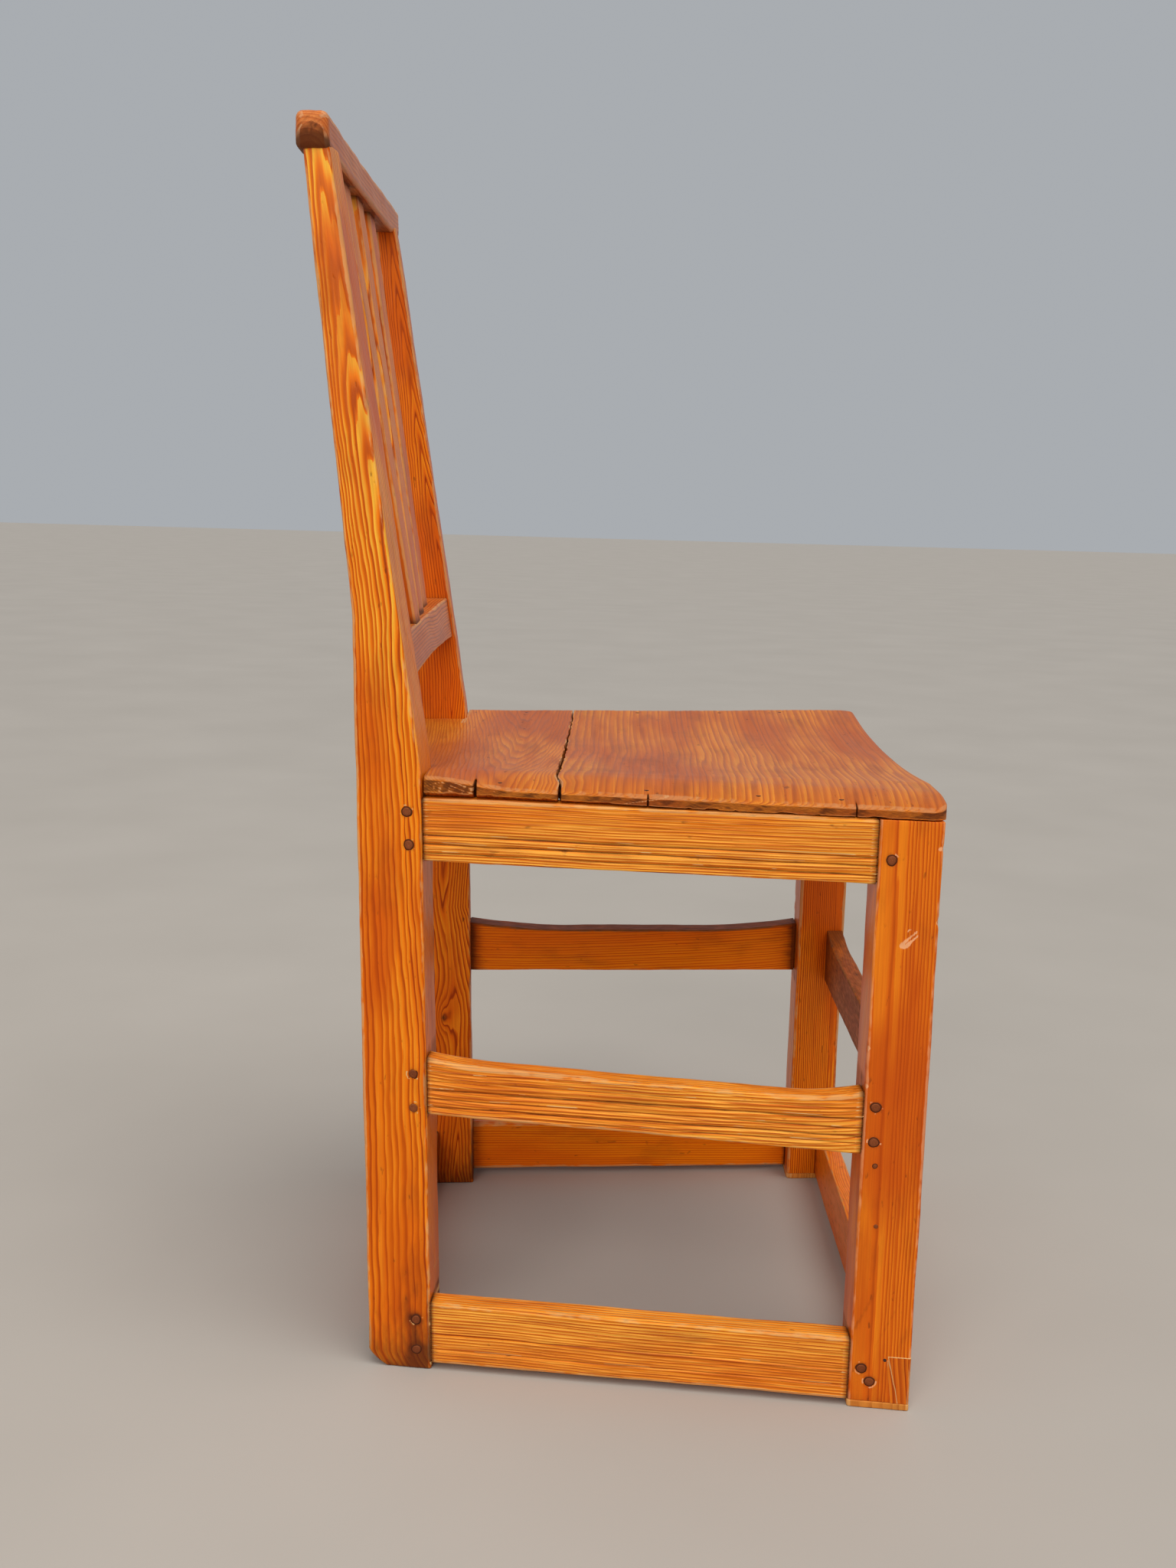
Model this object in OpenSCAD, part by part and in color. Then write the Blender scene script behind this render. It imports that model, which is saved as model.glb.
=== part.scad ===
// A farmhouse side chair of pegged pine: raked back with a crest rail, three
// slats and a lower rail, a dished seat of two boards, and box stretchers.
// +Z is up, the sitter faces -Y, and the sitter's right is -X.
// The origin is on the floor, under the middle of the chair's box.

/* [Overall] */
// Front of the seat to the back of the crest rail
overall_depth = 439; // [430:1:450]
// Front of the front legs to the heels of the back posts
frame_depth = 384; // [376:1:390]
// Width over the back posts, at their front faces
back_w = 368; // [352:1:380]
// Width over the front legs, at their back faces
front_w = 433; // [420:1:450]
// Height of the tops of the seat rails
rail_top = 420; // [410:1:430]
// Height of the shoulders that carry the crest rail
post_top = 842; // [825:1:860]

/* [Legs and posts] */
// Thickness of every leg, from its outer to its inner face
leg_t = 40; // [37:1:42]
// Depth of a front leg, front to back
leg_d = 42; // [40:1:45]
// Depth of a back post below the seat
post_d = 45.5; // [43:0.5:48]
// Backward lean of the back posts below the seat, in degrees
post_lean = 1.5; // [0.5:0.25:2.5]
// Height where the front face of a post starts to rake
bend_front = 437; // [425:1:450]
// Height where the back face of a post starts to rake
bend_back = 541; // [520:1:560]
// Thickness of a post under the crest rail
post_top_t = 30; // [27:1:34]
// How far the outer face of a post comes in at the top
post_top_inset = 4.5; // [2:0.5:6]
// Depth of a post under the crest rail
post_top_d = 18; // [16:0.5:19]
// Width of the eased corners of the front legs
leg_ease = 1.5; // [0.5:0.25:3]

/* [Seat rails and stretchers] */
// Height of the seat rails
rail_h = 44; // [40:1:48]
// Thickness of the side rails and side stretchers
side_t = 20; // [18:1:22]
// Thickness of the front and back seat rails
end_rail_t = 18; // [16:1:20]
// Thickness of the front and back stretchers
end_stretcher_t = 15; // [14:0.5:17]
// Undersides of the middle side stretchers, right and left
mid_z = [190, 198]; // [180:1:205]
// Heights of the middle side stretchers at their ends, right and left
mid_h = [44.5, 45.5]; // [40:0.5:50]
// Underside of the middle front stretcher
front_mid_z = 194; // [184:1:204]
// Height of the middle front stretcher at its ends
front_mid_h = 48; // [44:1:52]
// Underside of the low stretchers
low_z = 5; // [4:0.5:8]
// Height of the low stretchers
low_h = 46; // [42:1:48]
// Depth of the hollow in the top edge of the middle stretchers
hollow = 8; // [4:0.5:10]
// Length of the curve at each end of the hollow
hollow_run = 55; // [40:1:70]

/* [Joints] */
// Thickness of a tenon
tenon_t = 9; // [8:0.5:10]
// Outer face of a leg to the tenon of a side rail
tenon_in = 5.5; // [5:0.25:6]
// Length of the tenons of the side rails and stretchers
side_tenon = 27; // [22:1:30]
// Length of the tenons of the front and back rails
end_tenon = 21; // [16:1:22]
// Shoulder above and below a tenon
shoulder = 4; // [3:0.5:6]
// Diameter of a peg
peg_d = 6; // [5:0.5:7]
// How far a peg stands out of the wood
peg_proud = 0.8; // [0.3:0.1:1.2]
// Length of a peg in the wood
peg_deep = 23; // [20:0.5:24]

/* [Seat] */
// Thickness of the seat boards
seat_t = 19; // [17:1:22]
// Depth of the dish across the seat
dish = 10; // [4:0.5:12]
// Width of the dish from side to side
dish_w = 400; // [300:5:410]
// How far left of the middle the dish is deepest
dish_shift = 5; // [0:1:10]
// Width of the worn slope along the right side
slope_w = 50; // [30:1:60]
// Drop of the worn slope at the right side edge
slope_drop = 11; // [4:0.5:12]
// Seat in front of the front legs
seat_overhang = 3; // [1:0.5:6]
// Place of the crack between the boards, measured from the origin
crack_y = 37; // [20:1:60]
// Width of the crack between the boards
crack_w = 1.4; // [0.8:0.1:2.5]
// Rounding of the two front corners
corner_r = 12; // [6:1:20]
// Gap between the seat and the back posts
post_gap = 1; // [0.5:0.25:2]

/* [Back] */
// Length of the crest rail
crest_l = 355; // [350:1:362]
// Depth of the crest rail, front to back
crest_d = 22; // [20:0.5:25]
// Height of the crest rail
crest_h = 24; // [22:0.5:28]
// Rounding along the top of the crest rail
crest_r = 6; // [4:0.5:8]
// Length of the undercut at each end of the crest rail
undercut = 5; // [2:0.5:5]
// Underside of the lower back rail
low_back_z = 500; // [496:1:516]
// Height of the lower back rail
low_back_h = 33.5; // [30:0.5:38]
// Thickness of the lower back rail
low_back_t = 22; // [20:0.5:24]
// Rise of the arch under the lower back rail
arch = 3.5; // [1:0.5:6]
// How far the lower back rail runs down to the right, in degrees
low_back_tilt = 2; // [0:0.25:3]
// Width of a slat
slat_w = 30; // [24:1:34]
// Thickness of a slat
slat_t = 9; // [7:0.5:9]
// Spacing of the slats
slat_pitch = 62; // [52:1:66]
// Setback of the right, middle and left slats in the lower rail
slat_set = [2, 6, 10];
// Setback of the slats in the crest rail
slat_set_top = 7; // [5:0.5:8]

/* [Feet] */
// Thickness of the pads under the front legs
pad_h = 5; // [3:0.5:6]
// Height of the repair let into the right front foot
patch_h = 40; // [30:1:46]
// Height of the wear on the heel of the right back post
heel_wear = 12; // [4:1:16]

/* [Hidden] */
$fn = 64;

RIGHT = -1;
LEFT = 1;

leg_front = seat_overhang - overall_depth / 2;
leg_back = leg_front + leg_d;
heel = leg_front + frame_depth;
toe = heel - post_d;
crest_back = overall_depth / 2;
crest_front = crest_back - crest_d;
rail_z = rail_top - rail_h;
seat_top = rail_top + seat_t;
low_back_top = low_back_z + low_back_h;
crest_tenon = 14;
slat_tenon = 11;
peg_r = peg_d / 2;
pad_ease = 4;
low_back_tenon = 17;
low_back_tenon_in = 8.5;
low_back_tenon_h = low_back_h - 11;

// Front and back faces of a post at height z: a slight lean, then the rake.
function lean(z) = z * tan(post_lean);
function blend(a, b, t) = a + (b - a) * t;
function post_front(z) = z <= bend_front ? toe + lean(z)
    : blend(toe + lean(bend_front), crest_front, (z - bend_front) / (post_top - bend_front));
function post_back(z) = z <= bend_back ? heel + lean(z)
    : blend(heel + lean(bend_back), crest_front + post_top_d,
        (z - bend_back) / (post_top - bend_back));

// The sides spread towards the front, so that half the width follows y.
seat_line = post_front(rail_top);
splay = (front_w - back_w) / 2 / (seat_line - leg_back);
splay_deg = atan(splay);
function half(y) = back_w / 2 + splay * (seat_line - y);
function side_point(side, y, inset) = [side * (half(y) - inset), y];
function mid_low(side) = mid_z[side == RIGHT ? 0 : 1];
function mid_top(side) = mid_low(side) + mid_h[side == RIGHT ? 0 : 1];

// Seen from the front, a post starts to taper a little above its bend.
taper_start = bend_front + 15;
function post_t(z) = z <= taper_start ? leg_t
    : blend(leg_t, post_top_t, (z - taper_start) / (post_top - taper_start));
function post_in(z) = z <= taper_start ? 0
    : blend(0, post_top_inset, (z - taper_start) / (post_top - taper_start));

pine = "#cf8633";
pine_dark = "#b96a2a";
seat_red = "#a85f3a";
peg_brown = "#6e4029";
raw_wood = "#d9ad70";
iron = "#4a3a32";

// ---- shared shapes ----

// A bar along one side of the chair, between two insets from the outer face.
module side_bar(side, y0, y1, in0, in1, z0, z1) {
    translate([0, 0, z0])
        linear_extrude(z1 - z0)
            polygon([side_point(side, y0, in0), side_point(side, y1, in0),
                side_point(side, y1, in1), side_point(side, y0, in1)]);
}

// A shape drawn in (y, z) and pushed along X, centred on x.
module along_x(x, length) {
    translate([x - length / 2, 0, 0])
        rotate([90, 0, 90])
            linear_extrude(length)
                children();
}

// A shape drawn in (x, z) and pushed along Y, from y0 to y1.
module along_y(y0, y1) {
    translate([0, y1, 0])
        rotate([90, 0, 0])
            linear_extrude(y1 - y0)
                children();
}

// The local frame of a side: x is out of the outer face, y runs along it.
module on_side(side, y) {
    translate([side * half(y), y, 0])
        rotate([0, 0, side * splay_deg])
            children();
}

// The waste above a hollowed top edge: flat in the middle, an arc at each end.
module hollow_cut(from, to, top) {
    arc_r = (hollow_run * hollow_run + hollow * hollow) / (2 * hollow);
    bottom = top - hollow;
    intersection() {
        translate([from, bottom])
            square([to - from, 4 * hollow]);
        union() {
            translate([from + hollow_run, bottom + arc_r])
                circle(arc_r, $fn = 180);
            translate([to - hollow_run, bottom + arc_r])
                circle(arc_r, $fn = 180);
            translate([from + hollow_run, bottom])
                square([to - from - 2 * hollow_run, 4 * hollow]);
        }
    }
}

// A peg, or the hole that it fills, driven in at the outer face of a side.
module side_peg(side, y, z, proud) {
    on_side(side, y)
        translate([side * proud, 0, z])
            rotate([0, -side * 90, 0])
                cylinder(h = peg_deep + proud, r = peg_r);
}

// ---- pegs ----

// [distance into the post, height] of each peg on a side.
function post_pegs(side) = [[11.5, rail_top - 10], [10.5, rail_top - 33],
    [10.5, mid_low(side) + 33], [10.5, mid_low(side) + 8],
    [11.5, low_z + 33], [11.5, low_z + 10]];
function leg_pegs(side) = [[7.5, rail_top - 27],
    [6.5, mid_low(side) + 31], [6.5, mid_low(side) + 6],
    [7, low_z + 24.5], [13, low_z + 15]];
end_peg_heights = [rail_top - 12, rail_top - 32, front_mid_z + 34, front_mid_z + 12,
    low_z + 23];
function back_peg_heights(side) = [rail_top - 12, rail_top - 32, low_z + 34, low_z + 12,
    low_back_z + low_back_h / 2 + side * low_back_reach * sin(low_back_tilt)];
end_peg_inset = leg_t - 10;

module side_pegs(side, proud) {
    for (p = post_pegs(side))
        side_peg(side, post_front(p[1]) + p[0], p[1], proud);
    for (p = leg_pegs(side))
        side_peg(side, leg_back - p[0], p[1], proud);
}

module front_pegs_at(side, proud) {
    x = side * (half(leg_front) - end_peg_inset);
    for (z = end_peg_heights)
        translate([x, leg_front - proud, z])
            rotate([-90, 0, 0])
                cylinder(h = peg_deep - 3 + proud, r = peg_r);
}

module back_pegs_at(side, proud) {
    for (z = back_peg_heights(side))
        translate([side * (half(post_back(z)) - post_in(z) - post_t(z) + 10),
                post_back(z) + proud, z])
            rotate([90, 0, 0])
                cylinder(h = peg_deep - 3 + proud, r = peg_r);
}

module side_pegs_right() {
    color(peg_brown)
        side_pegs(RIGHT, peg_proud);
}

module side_pegs_left() {
    color(peg_brown)
        side_pegs(LEFT, peg_proud);
}

module front_pegs() {
    color(peg_brown) {
        front_pegs_at(RIGHT, peg_proud);
        front_pegs_at(LEFT, peg_proud);
    }
}

module back_pegs() {
    color(peg_brown) {
        back_pegs_at(RIGHT, peg_proud);
        back_pegs_at(LEFT, peg_proud);
    }
}

// ---- rails and stretchers between a front leg and a back post ----

module side_tenons(side, z0, z1) {
    post_end = post_front((z0 + z1) / 2);
    side_bar(side, leg_back - side_tenon, leg_back + 2, tenon_in, tenon_in + tenon_t,
        z0 + shoulder, z1 - shoulder);
    side_bar(side, post_end - 3, post_end + side_tenon, tenon_in, tenon_in + tenon_t,
        z0 + shoulder, z1 - shoulder);
}

module side_member(side, z0, z1) {
    difference() {
        side_bar(side, leg_back, post_front(z1) + 1, 0, side_t, z0, z1);
        back_post_blank(side);
    }
    side_tenons(side, z0, z1);
}

// Three grooves leave two beads and a fillet on the outer face.
module bead_grooves(side, heights) {
    groove_r = 1.8;
    for (z = heights)
        on_side(side, (leg_back + seat_line) / 2)
            translate([side * 0.7, 0, z])
                rotate([90, 0, 0])
                    cylinder(h = frame_depth, r = groove_r, center = true);
}

module seat_rail_side(side) {
    color(pine)
        difference() {
            side_member(side, rail_z, rail_top);
            difference() {
                bead_grooves(side, [rail_z + 17.7, rail_z + 11.8, rail_z + 5.5]);
                back_post_blank(side);
                front_leg_blank(side);
            }
            side_pegs(side, 1);
            seat_nails_all();
        }
}

module seat_rail_right() {
    seat_rail_side(RIGHT);
}

module seat_rail_left() {
    seat_rail_side(LEFT);
}

module mid_stretcher_side(side) {
    color(pine)
        difference() {
            side_member(side, mid_low(side), mid_top(side));
            along_x(side * half(0), 4 * side_t)
                hollow_cut(leg_back, post_front(mid_low(side)), mid_top(side));
            difference() {
                bead_grooves(side, [mid_low(side) + 22, mid_low(side) + 14.5,
                    mid_low(side) + 6.5]);
                back_post_blank(side);
                front_leg_blank(side);
            }
            side_pegs(side, 1);
        }
}

module mid_stretcher_right() {
    mid_stretcher_side(RIGHT);
}

module mid_stretcher_left() {
    mid_stretcher_side(LEFT);
}

module low_stretcher_side(side) {
    color(pine)
        difference() {
            side_member(side, low_z, low_z + low_h);
            difference() {
                bead_grooves(side, [low_z + 23, low_z + 9]);
                back_post_blank(side);
                front_leg_blank(side);
            }
            side_pegs(side, 1);
        }
}

module low_stretcher_right() {
    low_stretcher_side(RIGHT);
}

module low_stretcher_left() {
    low_stretcher_side(LEFT);
}

// ---- rails and stretchers across the chair ----

// A tenon at each end of a cross member, into the legs.
module cross_tenons(y0, z0, z1, reach) {
    for (side = [RIGHT, LEFT])
        translate([side * (reach - end_tenon / 2 - 1), y0 + tenon_t / 2, (z0 + z1) / 2])
            cube([end_tenon + 2, tenon_t, z1 - z0 - 2 * shoulder], center = true);
}

front_reach = half(leg_front) - leg_t + end_tenon;

module front_tenons(z0, z1) {
    cross_tenons(leg_front + 4, z0, z1, front_reach);
}

module front_member(z0, z1, thick) {
    difference() {
        translate([-front_reach, leg_front + 1, z0])
            cube([2 * front_reach, thick, z1 - z0]);
        front_leg_blank(RIGHT);
        front_leg_blank(LEFT);
    }
    front_tenons(z0, z1);
}

function back_reach(z) = half(post_back(z)) - leg_t + end_tenon;

module back_tenons(z0, z1) {
    cross_tenons(post_back(z0) - 3.5 - tenon_t, z0, z1, back_reach(z0));
}

module back_member(z0, z1, thick) {
    difference() {
        translate([-back_reach(z0), post_back(z0) - thick, z0])
            cube([2 * back_reach(z0), thick, z1 - z0]);
        back_post_blank(RIGHT);
        back_post_blank(LEFT);
    }
    back_tenons(z0, z1);
}

module seat_rail_front() {
    color(pine_dark)
        difference() {
            front_member(rail_z, rail_top, end_rail_t);
            front_pegs_at(RIGHT, 1);
            front_pegs_at(LEFT, 1);
        }
}

module mid_stretcher_front() {
    span = half(leg_front) - leg_t;
    color(pine_dark)
        difference() {
            front_member(front_mid_z, front_mid_z + front_mid_h, end_stretcher_t);
            along_y(leg_front - 1, leg_back)
                hollow_cut(-span, span, front_mid_z + front_mid_h);
            front_pegs_at(RIGHT, 1);
            front_pegs_at(LEFT, 1);
        }
}

module low_stretcher_front() {
    color(pine_dark)
        difference() {
            front_member(low_z, low_z + low_h, end_stretcher_t);
            front_pegs_at(RIGHT, 1);
            front_pegs_at(LEFT, 1);
        }
}

module seat_rail_back() {
    color(pine_dark)
        difference() {
            back_member(rail_z, rail_top, end_rail_t);
            back_pegs_at(RIGHT, 1);
            back_pegs_at(LEFT, 1);
        }
}

module low_stretcher_back() {
    color(pine_dark)
        difference() {
            back_member(low_z, low_z + low_h, end_stretcher_t + 1);
            back_pegs_at(RIGHT, 1);
            back_pegs_at(LEFT, 1);
        }
}

// ---- front legs and feet ----

module leg_section(side, ease) {
    polygon([for (p = [[leg_front + ease, 0], [leg_back - ease, 0], [leg_back, ease],
                [leg_back, leg_t - ease], [leg_back - ease, leg_t],
                [leg_front + ease, leg_t], [leg_front, leg_t - ease], [leg_front, ease]])
        side_point(side, p[0], p[1])]);
}

module front_leg_blank(side) {
    translate([0, 0, pad_h])
        linear_extrude(rail_top - pad_h)
            leg_section(side, leg_ease);
}

// The piece let into the front corner of the right foot.
module patch_cut() {
    along_x(RIGHT * half(leg_front), 3 * leg_t)
        polygon([[leg_front - 1, pad_h - 1], [leg_front + 8, pad_h - 1],
            [leg_front + 10, pad_h + 10], [leg_front + 13, pad_h + 22],
            [leg_front + 17, patch_h - 2], [leg_front - 1, patch_h]]);
}

// The tenons that a front leg receives.
module leg_mortises(side) {
    side_tenons(side, rail_z, rail_top);
    side_tenons(side, mid_low(side), mid_top(side));
    side_tenons(side, low_z, low_z + low_h);
    front_tenons(rail_z, rail_top);
    front_tenons(front_mid_z, front_mid_z + front_mid_h);
    front_tenons(low_z, low_z + low_h);
}

module front_leg(side) {
    difference() {
        front_leg_blank(side);
        leg_mortises(side);
        side_pegs(side, 1);
        front_pegs_at(side, 1);
    }
}

module front_leg_right() {
    nail_hole_r = 1.1;
    color(pine)
        difference() {
            front_leg(RIGHT);
            patch_cut();
            leg_plugs(1);
            on_side(RIGHT, leg_front + 18)
                translate([1, 0, patch_h - 2])
                    rotate([0, 90, 0])
                        cylinder(h = 14, r = nail_hole_r, center = true);
        }
}

module front_leg_left() {
    color(pine)
        front_leg(LEFT);
}

module foot_patch_right() {
    color(pine_dark)
        difference() {
            intersection() {
                front_leg_blank(RIGHT);
                patch_cut();
            }
            front_tenons(low_z, low_z + low_h);
            side_tenons(RIGHT, low_z, low_z + low_h);
            front_pegs_at(RIGHT, 1);
        }
}

module foot_pad(side) {
    color(raw_wood)
        linear_extrude(pad_h)
            leg_section(side, pad_ease);
}

module foot_pad_right() {
    foot_pad(RIGHT);
}

module foot_pad_left() {
    foot_pad(LEFT);
}

// Two old nail holes in the right front leg, filled with small plugs.
module leg_plugs(extra) {
    plug_r = 1.6;
    plug_deep = 9;
    for (p = [[9, 179], [12, 135.5]])
        on_side(RIGHT, leg_back - p[0])
            translate([-0.2 - extra, 0, p[1]])
                rotate([0, 90, 0])
                    cylinder(h = plug_deep + extra, r = plug_r);
}

module leg_plugs_right() {
    color(peg_brown)
        leg_plugs(0);
}

// ---- back posts ----

module post_side_outline() {
    polygon([[post_front(0), 0], [post_back(0), 0], [post_back(bend_back), bend_back],
        [post_back(post_top), post_top], [post_front(post_top), post_top],
        [post_front(bend_front), bend_front]]);
}

module post_front_outline(side) {
    polygon([[0, 0], [0, taper_start], [-side * post_top_inset, post_top],
        [-side * (post_top_inset + post_top_t), post_top],
        [-side * leg_t, taper_start], [-side * leg_t, 0]]);
}

module back_post_blank(side) {
    intersection() {
        along_x(side * back_w / 2, 4 * leg_t)
            post_side_outline();
        on_side(side, seat_line)
            along_y(-2 * post_d, 4 * post_d)
                post_front_outline(side);
    }
}

module crest_tenons() {
    y = crest_front + post_top_d / 2;
    for (side = [RIGHT, LEFT])
        translate([side * (half(y) - post_top_inset - post_top_t / 2), y,
                post_top + (crest_tenon - 4) / 2])
            cube([18, tenon_t, crest_tenon + 4], center = true);
}

module back_post(side) {
    color(pine)
        difference() {
            union() {
                back_post_blank(side);
                intersection() {
                    crest_tenons();
                    translate([side * back_w / 2, crest_back, post_top])
                        cube([3 * leg_t, 4 * crest_d, 4 * crest_tenon], center = true);
                }
            }
            side_tenons(side, rail_z, rail_top);
            side_tenons(side, mid_low(side), mid_top(side));
            side_tenons(side, low_z, low_z + low_h);
            back_tenons(rail_z, rail_top);
            back_tenons(low_z, low_z + low_h);
            lower_back_tenons();
            side_pegs(side, 1);
            back_pegs_at(side, 1);
        }
}

// The worn heel: a rounded loss on the back bottom corner of the right post.
module heel_loss() {
    along_x(RIGHT * back_w / 2, 4 * leg_t)
        polygon([[heel + 3, -1], [heel + 3, heel_wear + 4], [heel - 3, heel_wear / 3],
            [heel - heel_wear - 2, -1]]);
}

module back_post_right() {
    difference() {
        back_post(RIGHT);
        heel_loss();
    }
}

module back_post_left() {
    back_post(LEFT);
}

// ---- the back between the posts ----

low_back_reach = half(post_front(low_back_z)) - leg_t + low_back_tenon;

// The lower back rail has settled lower on the right, about its middle.
module low_back_tilted() {
    translate([0, 0, low_back_z])
        rotate([0, -low_back_tilt, 0])
            translate([0, 0, -low_back_z])
                children();
}

module lower_back_tenons() {
    root = 9;
    low_back_tilted()
    for (side = [RIGHT, LEFT])
        translate([side * (low_back_reach - (low_back_tenon + root) / 2),
                post_front(low_back_z) + low_back_tenon_in + tenon_t / 2,
                low_back_z + 6 + low_back_tenon_h / 2])
            cube([low_back_tenon + root, tenon_t, low_back_tenon_h], center = true);
}

// The lower rail's section follows the rake in front and behind.
module lower_back_rail_solid() {
    y0 = post_front(low_back_z) + 1;
    y1 = post_front(low_back_top) + 1;
    arch_half = back_w / 2 - leg_t;
    arch_r = (arch_half * arch_half + arch * arch) / (2 * arch);
    difference() {
        low_back_tilted()
            difference() {
                along_x(0, 2 * low_back_reach)
                    polygon([[y0, low_back_z], [y0 + low_back_t, low_back_z],
                        [y1 + low_back_t, low_back_top], [y1, low_back_top]]);
                translate([0, y0 - 10, low_back_z + arch - arch_r])
                    rotate([-90, 0, 0])
                        cylinder(h = 3 * low_back_t, r = arch_r, $fn = 360);
            }
        back_post_blank(RIGHT);
        back_post_blank(LEFT);
    }
    lower_back_tenons();
}

module lower_back_rail() {
    color(pine_dark)
        difference() {
            lower_back_rail_solid();
            slats_all();
            back_pegs_at(RIGHT, 1);
            back_pegs_at(LEFT, 1);
        }
}

// A slat stands between a point in the lower rail and one in the crest rail.
module slat(index) {
    foot_y = post_front(low_back_top) + slat_set[index + 1];
    head_y = post_front(post_top) + slat_set_top;
    rise = post_top - low_back_top;
    tilt = atan((head_y - foot_y) / rise);
    translate([index * slat_pitch, foot_y, low_back_top])
        intersection() {
            rotate([-tilt, 0, 0])
                translate([0, slat_t / 2, rise / 2])
                    cube([slat_w, slat_t, 2 * rise], center = true);
            union() {
                translate([-slat_w, -rise, 0])
                    cube([2 * slat_w, 2 * rise, rise]);
                translate([3 - slat_w / 2, -rise, -slat_tenon])
                    cube([slat_w - 6, 2 * rise, rise + 2 * slat_tenon]);
            }
        }
}

module back_slat_right() {
    color(pine)
        slat(-1);
}

module back_slat_middle() {
    color(pine)
        slat(0);
}

module back_slat_left() {
    color(pine)
        slat(1);
}

module slats_all() {
    for (index = [-1, 0, 1])
        slat(index);
}

// The crest rail's section: square below, rounded along the top.
module crest_section() {
    translate([crest_front, post_top])
        union() {
            square([crest_d, crest_h - crest_r]);
            translate([crest_r, 0])
                square([crest_d - 2 * crest_r, crest_h]);
            translate([crest_r, crest_h - crest_r])
                circle(crest_r);
            translate([crest_d - crest_r, crest_h - crest_r])
                circle(crest_r);
        }
}

// Seen from the front: rounded upper corners, ends cut under below.
module crest_outline() {
    end = crest_l / 2;
    top = post_top + crest_h;
    union() {
        polygon([[-end + undercut, post_top - 1], [end - undercut, post_top - 1],
            [end - undercut, post_top], [end, post_top + 9], [end, top - crest_r],
            [-end, top - crest_r], [-end, post_top + 9], [-end + undercut, post_top]]);
        translate([-end + crest_r, top - crest_r - 1])
            square([2 * end - 2 * crest_r, crest_r + 2]);
        for (x = [-end + crest_r, end - crest_r])
            translate([x, top - crest_r])
                circle(crest_r);
    }
}

module crest_rail() {
    color(pine_dark)
        difference() {
            intersection() {
                along_x(0, crest_l)
                    crest_section();
                along_y(crest_front - 1, crest_back + 1)
                    crest_outline();
            }
            crest_tenons();
            slats_all();
        }
}

// ---- seat ----

// The arc of a front corner: its centre is corner_r from the front and the side.
function corner(side, a0, a1) =
    let (cy = corner_r - overall_depth / 2,
        cx = half(cy) - corner_r * sqrt(1 + splay * splay))
    [for (i = [0:corner_steps])
        let (a = blend(a0, a1, i / corner_steps))
        [side * (cx + corner_r * cos(a)), cy + corner_r * sin(a)]];
corner_steps = 8;

// The seat in plan: flush with the frame, notched behind for the posts.
module seat_plan() {
    side_end = seat_line - post_gap;
    tongue = half(seat_line) - leg_t - post_gap;
    tongue_back = post_back(rail_top);
    tongue_end = half(tongue_back) - leg_t - post_gap;
    polygon(concat(corner(RIGHT, splay_deg, -90), corner(LEFT, -90, splay_deg),
        [side_point(LEFT, side_end, 0), [tongue, side_end], [tongue_end, tongue_back],
            [-tongue_end, tongue_back], [-tongue, side_end],
            side_point(RIGHT, side_end, 0)]));
}

// What the sitters have worn away: the dish, and a slope down to the right side.
dish_half = dish_w / 2;
dish_r = (dish_half * dish_half + dish * dish) / (2 * dish);
function worn_top(side, x) = side == RIGHT
    ? seat_top - slope_drop * (1 - nail_inset / slope_w)
    : seat_top - dish + (x - dish_shift) * (x - dish_shift) / (2 * dish_r);

module seat_wear() {
    translate([dish_shift, 0, seat_top - dish + dish_r])
        rotate([90, 0, 0])
            cylinder(h = 2 * overall_depth, r = dish_r, center = true, $fn = 720);
    on_side(RIGHT, seat_line)
        along_y(-2 * overall_depth, 2 * overall_depth)
            polygon([[-slope_w, seat_top - 2 * slope_drop],
                [-slope_w, seat_top + slope_drop],
                [2 * slope_w, seat_top + slope_drop]]);
}

// Small nails through the seat into the side rails, [side, y].
nail_head_r = 2;
nail_head_t = 1.6;
nail_r = 0.9;
nail_l = 34;
nail_inset = 11;
nail_places = [for (side = [RIGHT, LEFT], y = [-150, -95, -20, 80]) [side, y]];

module seat_nails_all() {
    for (n = nail_places)
        let (x = half(n[1]) - nail_inset, nail_top = worn_top(n[0], x))
            translate([n[0] * x, n[1], 0]) {
                translate([0, 0, nail_top - nail_l])
                    cylinder(h = nail_l, r = nail_r);
                translate([0, 0, nail_top - nail_head_t / 2])
                    cylinder(h = nail_head_t, r = nail_head_r);
            }
}

module seat_nails() {
    color(iron)
        seat_nails_all();
}

module seat_solid() {
    difference() {
        translate([0, 0, rail_top])
            linear_extrude(seat_t)
                seat_plan();
        seat_wear();
        seat_nails_all();
    }
}

module seat_board(y0, y1) {
    color(seat_red)
        intersection() {
            seat_solid();
            translate([-front_w, y0, rail_top - 1])
                cube([2 * front_w, y1 - y0, seat_t + 2]);
        }
}

module seat_board_front() {
    seat_board(-overall_depth, crack_y - crack_w / 2);
}

module seat_board_rear() {
    seat_board(crack_y + crack_w / 2, overall_depth);
}

back_post_right();
back_post_left();
front_leg_right();
front_leg_left();
crest_rail();
lower_back_rail();
back_slat_right();
back_slat_middle();
back_slat_left();
seat_board_rear();
seat_board_front();
seat_rail_right();
seat_rail_left();
seat_rail_front();
seat_rail_back();
mid_stretcher_right();
mid_stretcher_left();
mid_stretcher_front();
low_stretcher_right();
low_stretcher_left();
low_stretcher_front();
low_stretcher_back();
foot_pad_right();
foot_pad_left();
foot_patch_right();
side_pegs_right();
side_pegs_left();
front_pegs();
back_pegs();
leg_plugs_right();
seat_nails();
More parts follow.
